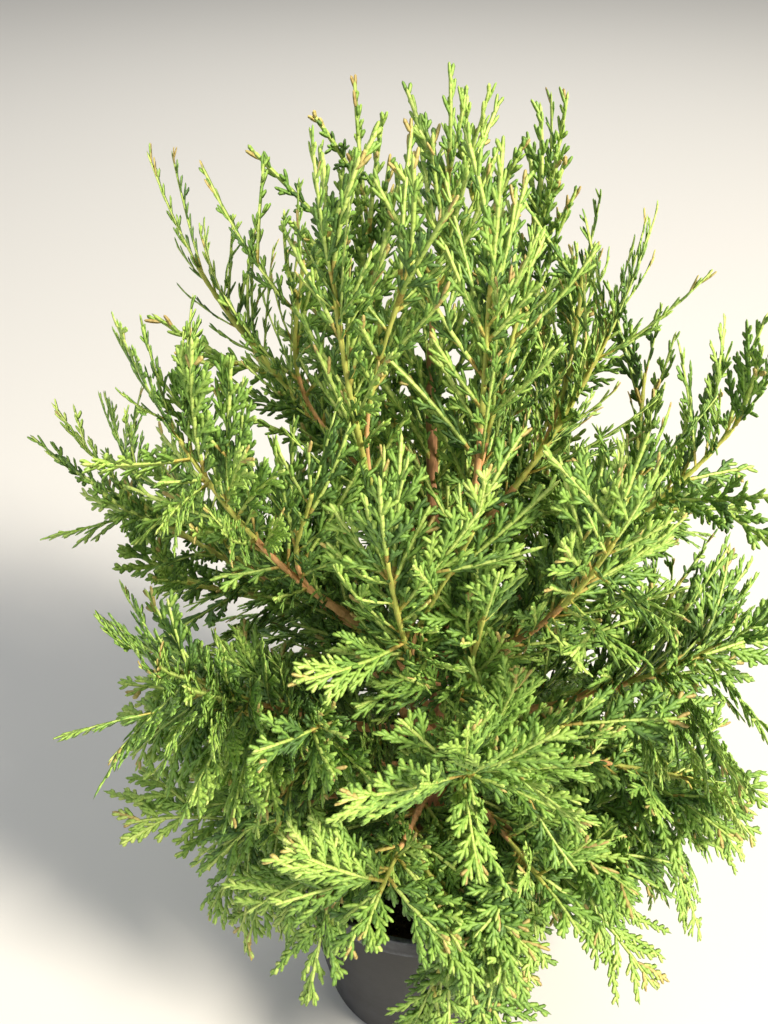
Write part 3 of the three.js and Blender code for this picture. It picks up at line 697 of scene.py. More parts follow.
def blades(rows, outline, foot=None):
    """Vertices, triangles, uvs and tints of all the blades of one kind, each closed at both ends.

    A row holds one blade or several: their roots, their lengths as vectors, their sideways and
    face directions, their bends, widths and tints. The foot, up to the second ring, may have a
    tint of its own.
    """
    columns = list(zip(*rows))
    root, along, side, face, bend = [
        np.concatenate([np.atleast_2d(part) for part in column]) for column in columns[:5]]
    width, tint = [
        np.concatenate([np.atleast_1d(part) for part in column]) for column in columns[5:]]
    length = np.linalg.norm(along, axis=1)
    vertices, marks = [root], [(0 * length, 0.5)]
    for share, left, right in zip(outline.shares, outline.left, outline.right):
        centre = root + along * share + bend * share ** 2
        high = face * (width * SPRAY.thickness * (1 - SPRAY.thinned * share))[:, None]
        vertices += [centre + high * SPRAY.crest,
                     centre - high * SPRAY.keel + side * (width / 2 * left)[:, None],
                     centre - high * SPRAY.keel - side * (width / 2 * right)[:, None]]
        marks += [(share * length / SCALE_PITCH, across) for across in (0.5, 0.0, 1.0)]
    vertices.append(root + along + bend)
    marks.append((length / SCALE_PITCH, 0.5))
    triangles = [(0, 1, 2), (0, 2, 3), (0, 3, 1)]
    for ring in range(len(outline.shares) - 1):
        top, left, right = 3 * ring + 1, 3 * ring + 2, 3 * ring + 3
        triangles += [(top, top + 3, left + 3), (top, left + 3, left), (top, right, right + 3),
                      (top, right + 3, top + 3), (left, left + 3, right + 3),
                      (left, right + 3, right)]
    last, tip = 3 * len(outline.shares) - 2, 3 * len(outline.shares) + 1
    triangles += [(last, tip, last + 1), (last + 1, tip, last + 2), (last + 2, tip, last)]
    count, corners = len(root), len(vertices)
    points = np.stack(vertices, 1).reshape(-1, 3)
    uvs = np.stack([np.stack([u, np.full(count, v)], 1) for u, v in marks], 1).reshape(-1, 2)
    faces = np.array(triangles)[None] + np.arange(count)[:, None, None] * corners
    tints = np.repeat(tint, len(triangles)).reshape(count, -1)
    if foot is not None:
        tints[:, :FOOT_TRIANGLES] = foot
    return points, faces.reshape(-1, 3), uvs, tints.ravel()


def cover_frond(frond, outline, dice, twiglets, branches, ribs):
    """Side branches stand along the rib, alternately left and right, with twiglets on each."""
    wide, narrow, pointed, slim = outline
    span = SPRAY.end - SPRAY.start
    count = max(SPRAY.fewest, round(frond.length * span / SPRAY.side_step))
    shorter = dice.choice([-1, 1])
    # The frond's shade is painted shade: fronds deep in the crown take deeper tints.
    tone = dice.normal() * TINTING.spread - frond.shade
    tipped = dice.random() < TINTING.tipped
    rib_width = SPRAY.rib_width * (SPRAY.thin_rib
                                   + SPRAY.rib_growth * frond.length / SPRAY.full_rib)
    ribs.append((frond.root, frond.along * frond.length, frond.across, frond.face,
                 frond.bend * frond.length, rib_width, TINTS.index("young")))
    for place in range(count):
        share = SPRAY.start + span * (place + SPRAY.stagger) / count
        sign = 1 if place % 2 else -1
        tangent = unit(frond.along + 2 * share * frond.bend)
        side = unit(np.cross(frond.face, tangent))
        face = np.cross(tangent, side)
        angle = math.radians(wide + (narrow - wide) * share + dice.normal() * SPRAY.angle_spread)
        half = float(frond_half_width(frond, share)) * (1 - share) ** pointed
        half *= dice.uniform(SPRAY.shortest_share, SPRAY.longest_share)
        half *= SPRAY.shorter_side if sign == shorter else 1
        length = max(SPRAY.shortest / slim ** 2, half / math.sin(FROND.forward))
        along = unit(tangent * math.cos(angle) + side * sign * math.sin(angle)
                     + face * dice.normal() * SPRAY.lift)
        across = unit(np.cross(face, along))
        out = TINTING.along_rib * share + tone
        tint = np.searchsorted(TINT_STOPS,
                               out + TINTING.branch + TINTING.branch_chance * dice.random())
        if tipped and share > TINTING.tipped_from:
            tint = TINTS.index("bronze")
        branch = SimpleNamespace(
            root=rib_point(frond, share), along=along, across=across, face=np.cross(along, across),
            bend=(tangent * SPRAY.side_bend - face * SPRAY.droop) * length, length=length,
            share=share, sign=sign, out=out, slim=slim, fullness=frond.fullness)
        branches.append((branch.root, along * length, across, branch.face, branch.bend,
                         SPRAY.branch_width * slim
                         * min(1, SPRAY.thin_branch + length / SPRAY.full_branch), tint))
        cover_branch(branch, dice, twiglets)


def cover_branch(branch, dice, twiglets):
    """Twiglets stand along a side branch, alternately left and right."""
    count = int((branch.length - TWIG.first - TWIG.last) / TWIG.step)
    if count < 1:
        return
    order = np.arange(count)
    at = (TWIG.first + order * TWIG.step) / branch.length
    signs = np.where(order % 2, 1.0, -1.0) * branch.sign
    turn = np.radians(TWIG.angle + dice.normal(size=count) * SPRAY.angle_spread)
    own = units(branch.along + 2 * at[:, None] * branch.bend / branch.length)
    lengths = (TWIG.length + (TWIG.tip_length - TWIG.length) * at
               + TWIG.more * min(1, branch.length / TWIG.more_from) * (1 - at) ** 2)
    lengths = (lengths * dice.uniform(*TWIG.lengths, count)
               * (TWIG.plain + TWIG.by_fullness * branch.fullness))
    along = units(own * np.cos(turn)[:, None] + branch.across * (signs * np.sin(turn))[:, None]
                  + branch.face * (dice.normal(size=count) * SPRAY.lift)[:, None])
    side = units(np.cross(branch.face, along))
    face = np.cross(along, side)
    roots = (branch.root + branch.along * branch.length * at[:, None]
             + branch.bend * at[:, None] ** 2)
    tints = np.searchsorted(TINT_STOPS, branch.out + TINTING.along_branch * at
                            + TINTING.twig_chance * dice.random(count))
    if dice.random() < TINTING.bronzed and branch.share > TINTING.bronzed_from:
        tints[-2:] = TINTS.index("bronze")
    bend = (own * TWIG.bend - face * SPRAY.droop) * lengths[:, None]
    twiglets.append((roots, along * lengths[:, None], side, face, bend,
                     TWIG.width * branch.slim * dice.uniform(*TWIG.widths, count), tints))
    long = lengths > LONG_TWIG.longer_than
    if long.any():
        cover_twigs(roots[long], along[long], side[long], face[long], lengths[long], tints[long],
                    dice, twiglets)


def cover_twigs(roots, along, side, face, lengths, tints, dice, twiglets):
    """The longest twiglets near a side branch's foot carry a few short ones of their own."""
    turn = math.radians(TWIG.angle)
    count = len(lengths)
    for share, sign in LONG_TWIG.places:
        size = ((lengths * (1 - share) * LONG_TWIG.part + LONG_TWIG.least)[:, None]
                * dice.uniform(*LONG_TWIG.lengths, (count, 1)))
        start = roots + along * (lengths * share)[:, None]
        start = start - face * (SPRAY.droop * lengths * share ** 2)[:, None]
        twiglets.append((start, (along * math.cos(turn) + side * sign * math.sin(turn)) * size,
                         side * math.cos(turn) - along * sign * math.sin(turn), face,
                         -face * SPRAY.droop * size,
                         TWIG.width * dice.uniform(*LONG_TWIG.widths, count), tints))


def joined_arrays(groups):
    """Points, faces, uvs and finishes of several groups as one."""
    starts = np.cumsum([0] + [len(points) for points, _, _, _ in groups])
    moved = [(points, faces + start, uvs, which)
             for start, (points, faces, uvs, which) in zip(starts, groups)]
    return [np.concatenate(column) for column in zip(*moved)]


def new_mesh(name, points, faces, uvs, which, finishes, smooth=True):
    """A piece from arrays, in millimetres, with a finish for each face."""
    mesh = bpy.data.meshes.new(name)
    faces = np.asarray(faces, np.int32)
    mesh.vertices.add(len(points))
    mesh.vertices.foreach_set("co", (points * METRE).astype(np.float32).ravel())
    mesh.loops.add(faces.size)
    mesh.loops.foreach_set("vertex_index", faces.ravel())
    mesh.polygons.add(len(faces))
    mesh.polygons.foreach_set("loop_start", np.arange(0, faces.size, 3, dtype=np.int32))
    mesh.update(calc_edges=True)
    if uvs is not None:
        layer = mesh.uv_layers.new(name="along")
        layer.data.foreach_set("uv", uvs[faces.ravel()].astype(np.float32).ravel())
    for finish in finishes:
        mesh.materials.append(finish)
    mesh.polygons.foreach_set("material_index", np.asarray(which, np.int32))
    mesh.polygons.foreach_set("use_smooth", np.full(len(faces), smooth))
    mesh.validate()
    piece = bpy.data.objects.new(name, mesh)
    bpy.context.scene.collection.objects.link(piece)
    return piece


def run_along(centres):
    """The length along a chain of points to each of them."""
    steps = np.linalg.norm(np.diff(centres, axis=0), axis=1)
    return np.concatenate([[0], np.cumsum(steps)])


def knot_swell(centres, knots):
    """How much a limb swells at each of its centres for the knots near it."""
    swell = np.zeros(len(centres))
    for knot in knots:
        gap = np.linalg.norm(centres - knot, axis=1)
        swell = np.maximum(swell, KNOT.swell * np.exp(-(gap / KNOT.length) ** 2))
    return swell


def foot_swell(centres):
    """How much a limb flares at each of its centres towards its foot."""
    return FOOT.swell * np.exp(-np.linalg.norm(centres - centres[0], axis=1) / FOOT.length)


def strip_relief(angle, along, seed):
    """How far a stem's bark stands out: long shallow strips that run with it."""
    aside = Vector((math.cos(angle), math.sin(angle), 0)) * LIMB_BARK.strip
    along = along / LIMB_BARK.stretch
    coarse = noise.noise(aside + Vector((0, 0, along + seed)))
    fine = noise.noise(aside * FINE_BARK.round_stem
                       + Vector((0, 0, along * FINE_BARK.along_stem - seed)))
    return LIMB_BARK.depth * (coarse + FINE_BARK.share * fine)


def tube(centres, radii, seed):
    """Points, triangles and uvs of a closed round stem with its bark."""
    sides = STEM.sides
    tangents = units(np.gradient(centres, axis=0))
    side = np.cross(tangents[0], STEM.aside)
    run = run_along(centres)
    points, uvs, faces = [], [], []
    for centre, tangent, radius, along in zip(centres, tangents, radii, run):
        side = unit(side - tangent * side.dot(tangent))
        over = np.cross(tangent, side)
        for angle in np.arange(sides) / sides * 2 * np.pi:
            reach = radius * (1 + strip_relief(angle, along, seed))
            points.append(centre + (side * math.cos(angle) + over * math.sin(angle)) * reach)
            uvs.append((along / SCALE_PITCH, angle / (2 * np.pi)))
    for ring in range(len(centres) - 1):
        for place in range(sides):
            a, b = ring * sides + place, ring * sides + (place + 1) % sides
            faces += [(a, b, b + sides), (a, b + sides, a + sides)]
    for ring, step in ((0, -1), (len(centres) - 1, 1)):
        points.append(centres[ring])
        uvs.append((run[ring] / SCALE_PITCH, 0.5))
        for place in range(sides):
            pair = (ring * sides + place, ring * sides + (place + 1) % sides)
            faces.append((len(points) - 1, *pair[::step]))
    return np.array(points), np.array(faces), np.array(uvs)


def stem_arrays(limb, knots):
    """A mass's stem, in orange bark and then in green, with its foot seated in the trunk."""
    coarse = limb.line.points(limb.stem_from, STEM_SHARE, STEM.samples)
    rings = max(STEM.fewest, round(run_along(coarse)[-1] / KNOT.ring))
    centres = limb.line.points(limb.stem_from, STEM_SHARE, rings)
    radii = (np.linspace(limb.stem_radius * SLIM, LIMB.stem_tip, rings)
             * (1 + knot_swell(centres, knots)))
    if limb.seat:
        radii = radii * (1 + foot_swell(centres))
        back = centres[0] - limb.line.tangent(limb.stem_from) * limb.seat
        centres = np.concatenate([[back], centres])
        radii = np.concatenate([[radii[0]], radii])
    points, faces, uvs = tube(centres, radii, limb.seed)
    return points, faces, uvs, (np.arange(len(faces)) > len(faces) * STEM.orange).astype(int)


def colour(code):
    """An sRGB hex code as linear red, green, blue and alpha."""
    parts = [int(code[place:place + 2], 16) / 255 for place in (1, 3, 5)]
    return tuple(part / 12.92 if part <= 0.04045 else ((part + 0.055) / 1.055) ** 2.4
                 for part in parts) + (1.0,)


def set_inputs(node, inputs):
    """Sets each named input of a node to a value or a hex code, or links a socket to it."""
    for name, value in inputs.items():
        if isinstance(value, bpy.types.NodeSocket):
            node.id_data.links.new(value, node.inputs[name])
        else:
            node.inputs[name].default_value = colour(value) if isinstance(value, str) else value


def add_node(material, kind, inputs=None, output=0, **settings):
    """Adds a node with its settings, values and links, and gives one of its outputs."""
    made = material.node_tree.nodes.new("ShaderNode" + kind)
    for name, value in settings.items():
        setattr(made, name, value)
    set_inputs(made, inputs or {})
    return made.outputs[output]


def new_material(name, inputs):
    """A material, its shader with its plain values set, and what adds a node to it."""
    material = bpy.data.materials.new(name)
    material.use_nodes = True
    shader = material.node_tree.nodes["Principled BSDF"]
    set_inputs(shader, inputs)
    return material, shader, partial(add_node, material)


def per(size):
    """A pattern's scale from its real size in millimetres."""
    return 1 / (size * METRE)


# The settings with which a Mix node mixes two colours.
TWO_TONES = dict(output=2, data_type="RGBA")


def foliage_finish(name, light, dark, roughness=0.5):
    """Scale leaves pressed flat on a twiglet: waxy and half matt, with a seam at each pair, bumped
    and darkened with painted shade.
    """
    material, shader, add = new_material(name, {"Roughness": roughness, "IOR": 1.45})
    place = add("TexCoord", output="Object")
    patch = add("TexNoise", {"Vector": place, "Scale": per(28), "Detail": 2.0})
    tone = add("MapRange", {"Value": patch, "From Min": 0.36, "From Max": 0.64})
    base = add("Mix", {0: tone, 6: dark, 7: light}, **TWO_TONES)
    run = add("SeparateXYZ", {0: add("TexCoord", output="UV")})
    wave = add("Math", {0: run, 1: 1.0}, operation="PINGPONG")
    seam = add("MapRange", {"Value": wave, "From Min": 0.0, "From Max": 0.35})
    # Painted shade: at each seam the colour is multiplied by the dark tone.
    painted_seam_shade = add("Mix", {0: 0.5, 6: base, 7: dark}, **TWO_TONES, blend_type="MULTIPLY")
    seam_shaded = add("Mix", {0: seam, 6: painted_seam_shade, 7: base}, **TWO_TONES)
    bump = add("Bump", {"Height": seam, "Strength": 0.35, "Distance": 0.4 * METRE})
    set_inputs(shader, {"Base Color": seam_shaded, "Normal": bump})
    return material


def bark_finish(name, light, dark):
    """Thin young bark, half rough: fine strips that run up it, paler where they have lifted.

    The strips are drawn at 1.6 mm, a little coarser than life, so that they show.
    """
    material, shader, add = new_material(name, {"Roughness": 0.72, "IOR": 1.5})
    place = add("TexCoord", output="Object")
    stretched = add("Mapping", {"Vector": place, "Scale": (1.0, 1.0, 0.25)})
    strips = add("TexNoise", {"Vector": stretched, "Scale": per(1.6), "Detail": 4.0})
    blotch = add("TexNoise", {"Vector": place, "Scale": per(12), "Detail": 2.0})
    tone = add("MapRange", {"Value": strips, "From Min": 0.35, "From Max": 0.65})
    base = add("Mix", {0: tone, 6: dark, 7: light}, **TWO_TONES)
    blotched = add("Mix", {0: blotch, 6: base, 7: light}, **TWO_TONES)
    bump = add("Bump", {"Height": strips, "Strength": 0.6, "Distance": 0.6 * METRE})
    set_inputs(shader, {"Base Color": blotched, "Normal": bump})
    return material


def pot_finish():
    """Moulded recycled polypropylene: nearly black, matt and dusty, with painted light on its band
    and edges and painted shade on its wall.
    """
    material, shader, add = new_material(
        "moulded_polypropylene", {"Roughness": 0.55, "IOR": 1.49, "Specular IOR Level": 0.2})
    place = add("TexCoord", output="Object")
    height = add("SeparateXYZ", {0: place}, output=2)
    cloud = add("TexNoise", {"Vector": place, "Scale": per(12), "Detail": 6.0, "Roughness": 0.7})
    patches = add("MapRange", {"Value": cloud, "From Min": 0.3, "From Max": 0.7})
    uneven = add("MapRange", {"Value": patches, "To Min": 0.15, "To Max": 1.6})
    band_foot = (POT_TOP - POT.band) * METRE
    above = add("Math", {0: height, 1: band_foot + 1.4 * METRE}, operation="SUBTRACT")
    from_edge = add("Math", {0: above}, operation="ABSOLUTE")
    # How pale the pot is at one height and at another, partly dust and partly painted light: a
    # little up the wall, which stays dark as painted shade, and paler on the band, along the band's
    # lower edge and on the lip.
    falls = ((height, 0.02, band_foot, 0.07, 0.02),
             (height, band_foot - 0.3 * METRE, band_foot + 0.6 * METRE, 0.0, 0.22),
             (from_edge, 0.6 * METRE, 2.6 * METRE, 0.26, 0.0),
             (height, (POT_TOP - POT.lip) * METRE, (POT_TOP - 1) * METRE, 0.0, 0.16))
    layers = [add("MapRange", {"Value": along, "From Min": start, "From Max": end,
                               "To Min": pale_from, "To Max": pale_to})
              for along, start, end, pale_from, pale_to in falls]
    dust_and_painted_light = layers[0]
    for layer in layers[1:]:
        dust_and_painted_light = add("Math", {0: dust_and_painted_light, 1: layer}, operation="ADD")
    dust_and_painted_light = add("Math", {0: dust_and_painted_light, 1: uneven}, operation="MULTIPLY", use_clamp=True)
    # Black where there is neither, pale bluish grey where the dust and the painted light are full.
    base = add("Mix", {0: dust_and_painted_light, 6: "#0f1012", 7: "#a2a4ae"}, **TWO_TONES)
    rough = add("MapRange", {"Value": dust_and_painted_light, "To Min": 0.46, "To Max": 0.9})
    grain = add("TexNoise", {"Vector": place, "Scale": per(1.2), "Detail": 3.0})
    bump = add("Bump", {"Height": grain, "Strength": 0.25, "Distance": 0.3 * METRE})
    set_inputs(shader, {"Base Color": base, "Roughness": rough, "Normal": bump})
    return material


def soil_finish(name, light, dark):
    """Moist peaty soil: dull, nearly black, with paler fibres, drawn coarse enough to show."""
    material, shader, add = new_material(name, {"Roughness": 0.95, "IOR": 1.5})
    place = add("TexCoord", output="Object")
    crumbs = add("TexNoise", {"Vector": place, "Scale": per(4), "Detail": 6.0})
    tone = add("MapRange", {"Value": crumbs, "From Min": 0.35, "From Max": 0.7})
    base = add("Mix", {0: tone, 6: dark, 7: light}, **TWO_TONES)
    bump = add("Bump", {"Height": crumbs, "Strength": 0.9, "Distance": 2 * METRE})
    set_inputs(shader, {"Base Color": base, "Normal": bump})
    return material


def pick(*pieces):
    """Deselects everything, then selects these pieces and makes the first of them active."""
    bpy.ops.object.select_all(action="DESELECT")
    for piece in reversed(pieces):
        piece.select_set(True)
        bpy.context.view_layer.objects.active = piece


def leave_edit():
    """Turns all the faces outwards and leaves edit mode."""
    bpy.ops.mesh.select_all(action="SELECT")
    bpy.ops.mesh.normals_make_consistent(inside=False)
    bpy.ops.object.mode_set(mode="OBJECT")


def apply_modifier(piece, kind, **settings):
    """Adds a modifier to a piece and applies it."""
    modifier = piece.modifiers.new(kind.lower(), kind)
    for name, value in settings.items():
        setattr(modifier, name, value)
    bpy.context.view_layer.objects.active = piece
    bpy.ops.object.modifier_apply(modifier=modifier.name)


def drawn_up(name, centres, radii, sides):
    """A closed round shape: a disc at its foot, extruded and resized from ring to ring."""
    pick()
    bpy.ops.mesh.primitive_circle_add(vertices=sides, radius=radii[0] * METRE, fill_type="NGON",
                                      location=centres[0] * METRE)
    piece = bpy.context.object
    piece.name = piece.data.name = name
    bpy.ops.object.transform_apply(location=True)
    bpy.ops.object.mode_set(mode="EDIT")
    for ring in range(1, len(centres)):
        bpy.ops.mesh.extrude_region_move(
            TRANSFORM_OT_translate={"value": (centres[ring] - centres[ring - 1]) * METRE})
        factor = radii[ring] / radii[ring - 1]
        if factor != 1:
            bpy.ops.transform.resize(value=(factor, factor, 1),
                                     center_override=centres[ring] * METRE)
    leave_edit()
    return piece


def turned(name, profile, sides):
    """A closed turned shape from a profile of radii and heights."""
    centres = np.array([(0, 0, height) for _, height in profile], float)
    return drawn_up(name, centres, [radius for radius, _ in profile], sides)


def make_pot():
    """The tub: a rounded foot, a tapering wall, a band and a narrow lip, drilled for drainage."""
    band_foot = POT_TOP - POT.band
    band = POT_RIM - POT.lip_step
    wall_top = band - POT.band_step
    inner_top = band - POT.wall
    inner_foot = POT.foot - POT.wall
    corner = [(POT.foot - POT.corner + POT.corner * math.sin(angle),
               POT.corner - POT.corner * math.cos(angle)) for angle in np.radians(POT_SKIN.corner)]
    pot = turned("pot_shell", corner + [
        (wall_top, band_foot), (band - POT_SKIN.draft, band_foot + POT_SKIN.ledge),
        (band, POT_TOP - POT.lip), (POT_RIM, POT_TOP - POT.lip),
        (POT_RIM, POT_TOP - POT_SKIN.rim), (inner_top, POT_TOP),
        (inner_top - POT_SKIN.draft, band_foot + POT.wall), (wall_top - POT.wall, band_foot),
        (inner_foot, POT.floor + POT.corner), (inner_foot - POT.corner, POT.floor),
        (POT_SKIN.middle, POT.floor)], POT_SKIN.sides)
    apply_modifier(pot, "BEVEL", width=POT_SKIN.bevel * METRE, segments=2, limit_method="ANGLE",
                   angle_limit=math.radians(POT_SKIN.bevel_from))
    for place in range(POT.holes):
        pick()
        bpy.ops.mesh.primitive_cylinder_add(
            vertices=POT_SKIN.hole_sides, radius=POT.hole * METRE, depth=POT.floor * 3 * METRE,
            location=around(place * 360 / POT.holes, POT.hole_circle, POT.floor / 2) * METRE)
        drill = bpy.context.object
        apply_modifier(pot, "BOOLEAN", operation="DIFFERENCE", object=drill)
        bpy.data.objects.remove(drill)
    pick(pot)
    bpy.ops.object.shade_smooth_by_angle(angle=math.radians(POT_SKIN.smooth_to))
    pot.data.materials.append(pot_finish())
    return pot


def make_soil(dice):
    """The potting soil: a lumpy top with crumbs and flat chips of bark lying on it."""
    slope = ((POT_RIM - POT.lip_step - POT.band_step - POT.foot)
             / (POT_TOP - POT.band - POT.corner))
    foot, shoulder, edge = POT.floor + GAP, POT.floor + POT.corner + SOIL.seat, SOIL_TOP - SOIL.fall
    foot_reach, shoulder_reach, reach = [
        POT.foot - POT.wall + slope * (height - POT.corner) - 2 * GAP
        for height in (foot, shoulder, edge)]
    profile = [(foot_reach - POT.corner - SOIL.seat, foot), (shoulder_reach, shoulder),
               (reach, edge)]
    profile += [(reach * share, SOIL_TOP - SOIL.fall * share ** SOIL.roundness)
                for share in np.linspace(SOIL.outer, SOIL.inner, SOIL.rings)]
    soil = turned("soil_top", profile, SOIL.sides)
    for vertex in soil.data.vertices:
        inside = vertex.co.xy.length < reach * METRE * SOIL.inside
        if inside and vertex.co.z > (edge - SOIL.top) * METRE:
            lump = noise.fractal(vertex.co / METRE / SOIL.lump, *SOIL.fractal)
            vertex.co.z += (lump * SOIL.lump_height - SOIL.sunk) * METRE
    pick(soil)
    bpy.ops.object.shade_smooth()
    soil.data.materials.append(soil_finish("peat_soil", "#4a3929", "#1d1510"))
    return soil, make_crumbs(dice, reach - SOIL.fall)


def make_crumbs(dice, reach):
    """Crumbs and bark chips, each a rough lump of twelve corners."""
    golden = (1 + 5 ** 0.5) / 2
    lump = np.array([(0, 1, golden), (0, -1, golden), (0, 1, -golden), (0, -1, -golden),
                     (1, golden, 0), (-1, golden, 0), (1, -golden, 0), (-1, -golden, 0),
                     (golden, 0, 1), (golden, 0, -1), (-golden, 0, 1), (-golden, 0, -1)])
    lump = lump / CRUMB.size
    skin = [(0, 1, 8), (0, 10, 1), (0, 5, 10), (0, 4, 5), (0, 8, 4), (3, 2, 9), (3, 11, 2),
            (3, 7, 11), (3, 6, 7), (3, 9, 6), (1, 6, 8), (8, 6, 9), (8, 9, 4), (4, 9, 2),
            (4, 2, 5), (5, 2, 11), (5, 11, 10), (10, 11, 7), (10, 7, 1), (1, 7, 6)]
    total = CRUMB.crumbs + CRUMB.chips
    is_chip = np.arange(total) >= CRUMB.crumbs
    far = reach * np.sqrt(dice.uniform(CRUMB.nearest, 1, total))
    turn = dice.uniform(0, 2 * np.pi, total)
    crumb_sizes = dice.uniform(*CRUMB.crumb_sizes, (total, 1)) * CRUMB.crumb
    chip_sizes = dice.uniform(*CRUMB.chip_sizes, (total, 1)) * CRUMB.chip
    sizes = np.where(is_chip[:, None], chip_sizes, crumb_sizes)
    spin = dice.uniform(0, 2 * np.pi, total)[:, None]
    shapes = lump[None] * dice.uniform(*CRUMB.rough, (total, len(lump), 1)) * sizes[:, None]
    x = shapes[..., 0] * np.cos(spin) - shapes[..., 1] * np.sin(spin)
    y = shapes[..., 0] * np.sin(spin) + shapes[..., 1] * np.cos(spin)
    lying = SOIL_TOP - SOIL.fall * (far / (reach + SOIL.fall)) ** SOIL.roundness - CRUMB.sunk
    points = np.stack([x + (far * np.cos(turn))[:, None], y + (far * np.sin(turn))[:, None],
                       shapes[..., 2] + lying[:, None]], 2).reshape(-1, 3)
    faces = (np.array(skin)[None] + np.arange(total)[:, None, None] * len(lump)).reshape(-1, 3)
    finishes = (soil_finish("soil_crumbs", "#54412f", "#20170f"),
                soil_finish("bark_chips", "#7a5433", "#3a2616"))
    return new_mesh("soil_crumbs", points, faces, None, np.repeat(is_chip, len(skin)), finishes,
                    smooth=False)


def barked(piece, centres, swell, seed, bark):
    """Moves a limb's skin in and out by its swell and by long shallow strips of bark."""
    run = run_along(centres)
    for vertex in piece.data.vertices:
        place = np.array(vertex.co) / METRE
        ring = int(((centres - place) ** 2).sum(1).argmin())
        out = place - centres[ring]
        aside = unit(out)
        wide = Vector(aside * bark.strip + run[ring] / bark.stretch + seed)
        relief = bark.depth * (noise.noise(wide)
                               + FINE_BARK.share * noise.noise(wide * FINE_BARK.closer))
        vertex.co = Vector((centres[ring] + out * (1 + swell(ring, aside) + relief)) * METRE)
    pick(piece)
    bpy.ops.object.shade_smooth()


def make_trunk():
    """The trunk, drawn up along its sway and taper from a little under the soil."""
    foot = SOIL_TOP - TRUNK_SKIN.sunk
    heights = foot + (TRUNK_TOP + GAP - foot) * np.linspace(0, 1, TRUNK_SKIN.rings)
    centres = np.array([trunk_centre(max(height, SOIL_TOP)) for height in heights])
    centres[:, 2] = heights
    radii = [trunk_radius(max(height, SOIL_TOP + GAP)) for height in heights]
    trunk = drawn_up("trunk_bark", centres, radii, TRUNK_SKIN.sides)

    def lobes(ring, aside):
        return trunk_lobe(max(heights[ring], SOIL_TOP), math.atan2(aside[1], aside[0])) - 1
    barked(trunk, centres, lobes, TRUNK_SKIN.seed, TRUNK_BARK)
    trunk.data.materials.append(bark_finish("trunk_bark", "#b98960", "#74492e"))
    return trunk


def first_part(corners, share):
    """The corners of a cubic curve's first part."""
    a, b, c, d = corners
    ab, bc, cd = a + (b - a) * share, b + (c - b) * share, c + (d - c) * share
    abc, bcd = ab + (bc - ab) * share, bc + (cd - bc) * share
    return a, ab, abc, abc + (bcd - abc) * share


def make_bough(limb, knots):
    """One bough: a curve with a round section, made a mesh, barked and seated in the trunk."""
    pick()
    bpy.ops.curve.primitive_bezier_curve_add(location=(0, 0, 0))
    bough = bpy.context.object
    shape = bough.data
    shape.resolution_u = BOUGH.steps
    shape.bevel_depth = METRE
    shape.bevel_resolution = BOUGH.section
    shape.use_fill_caps = True
    end = BOUGH_SHARE + BOUGH.lap
    foot, tip = shape.splines[0].bezier_points
    for handle in (foot, tip):
        handle.handle_left_type = handle.handle_right_type = "FREE"
    foot.co, foot.handle_right, tip.handle_left, tip.co = [
        Vector(corner * METRE) for corner in first_part(limb.line.corners, end)]
    foot.handle_left = foot.co * 2 - foot.handle_right
    tip.handle_right = tip.co * 2 - tip.handle_left
    foot.radius, tip.radius = limb.radius, LIMB.bough_tip * SLIM
    bpy.ops.object.convert(target="MESH")
    bpy.ops.object.mode_set(mode="EDIT")
    bpy.ops.mesh.select_all(action="SELECT")
    bpy.ops.mesh.remove_doubles(threshold=BOUGH.merge * METRE)
    leave_edit()
    centres = limb.line.points(0, end, BOUGH.steps + 1)
    swell = knot_swell(centres, knots) + foot_swell(centres)
    barked(bough, centres, lambda ring, aside: swell[ring], limb.seed, LIMB_BARK)
    seat = limb.line.tangent(0) * trunk_radius(centres[0][2]) * FOOT.bough_seat
    for vertex in bough.data.vertices:
        from_centres = np.linalg.norm(centres - np.array(vertex.co) / METRE, axis=1)
        if from_centres[0] < limb.radius * FOOT.seated and from_centres.argmin() == 0:
            vertex.co -= Vector(seat * METRE)
    return bough


def make_boughs(fronds, bark):
    """All the boughs, joined, in thin orange bark."""
    pick(*[make_bough(limb, [frond.root for frond in fronds[limb.name]]) for limb in BOUGHS])
    bpy.ops.object.join()
    boughs = bpy.context.object
    boughs.name = boughs.data.name = "boughs"
    boughs.data.materials.append(bark)
    return boughs


def dress(piece, slot, *nodes):
    """A new piece stands still, and takes the place of its CAD nodes, which are hidden."""
    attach(piece, "root")
    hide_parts(*nodes)


def make_sprays(tier, half, members, fronds, greens, barks):
    """One half of a tier: its sprays as one piece, and the stems that carry them as another."""
    twiglets, branches, ribs, stems = [], [], [], []
    for limb in members:
        dice = np.random.default_rng(limb.seed)
        for frond in fronds[limb.name]:
            cover_frond(frond, OUTLINES[tier], dice, twiglets, branches, ribs)
        stems.append(stem_arrays(limb, [frond.root for frond in fronds[limb.name]]))
    nodes = [f"foliage_{limb.name}" for limb in members if limb in LIMBS]
    growth = [blades(twiglets, TWIGLET), blades(branches, BRANCH),
              blades(ribs, RIB, TINTS.index("rind"))]
    dress(new_mesh(f"sprays_{tier}_{half}", *joined_arrays(growth), greens), "foliage", *nodes)
    dress(new_mesh(f"stems_{tier}_{half}", *joined_arrays(stems), barks), "bough_bark", *nodes)


greens = (foliage_finish("scales_deep", "#6f9444", "#527437"),
          foliage_finish("scales_leaf", "#90b551", "#759b43"),
          foliage_finish("scales_fresh", "#aecb62", "#94b652"),
          foliage_finish("scales_young", "#cbdd7a", "#b3cb66"),
          foliage_finish("shoot_rind", "#ccc464", "#b79f55", 0.58),
          foliage_finish("scales_bronze", "#cabc70", "#b59f60", 0.55))
young_bark = bark_finish("young_bark", "#f0bb80", "#b0723c")
shoot_bark = bark_finish("shoot_bark", "#bdc75f", "#b59c4e")

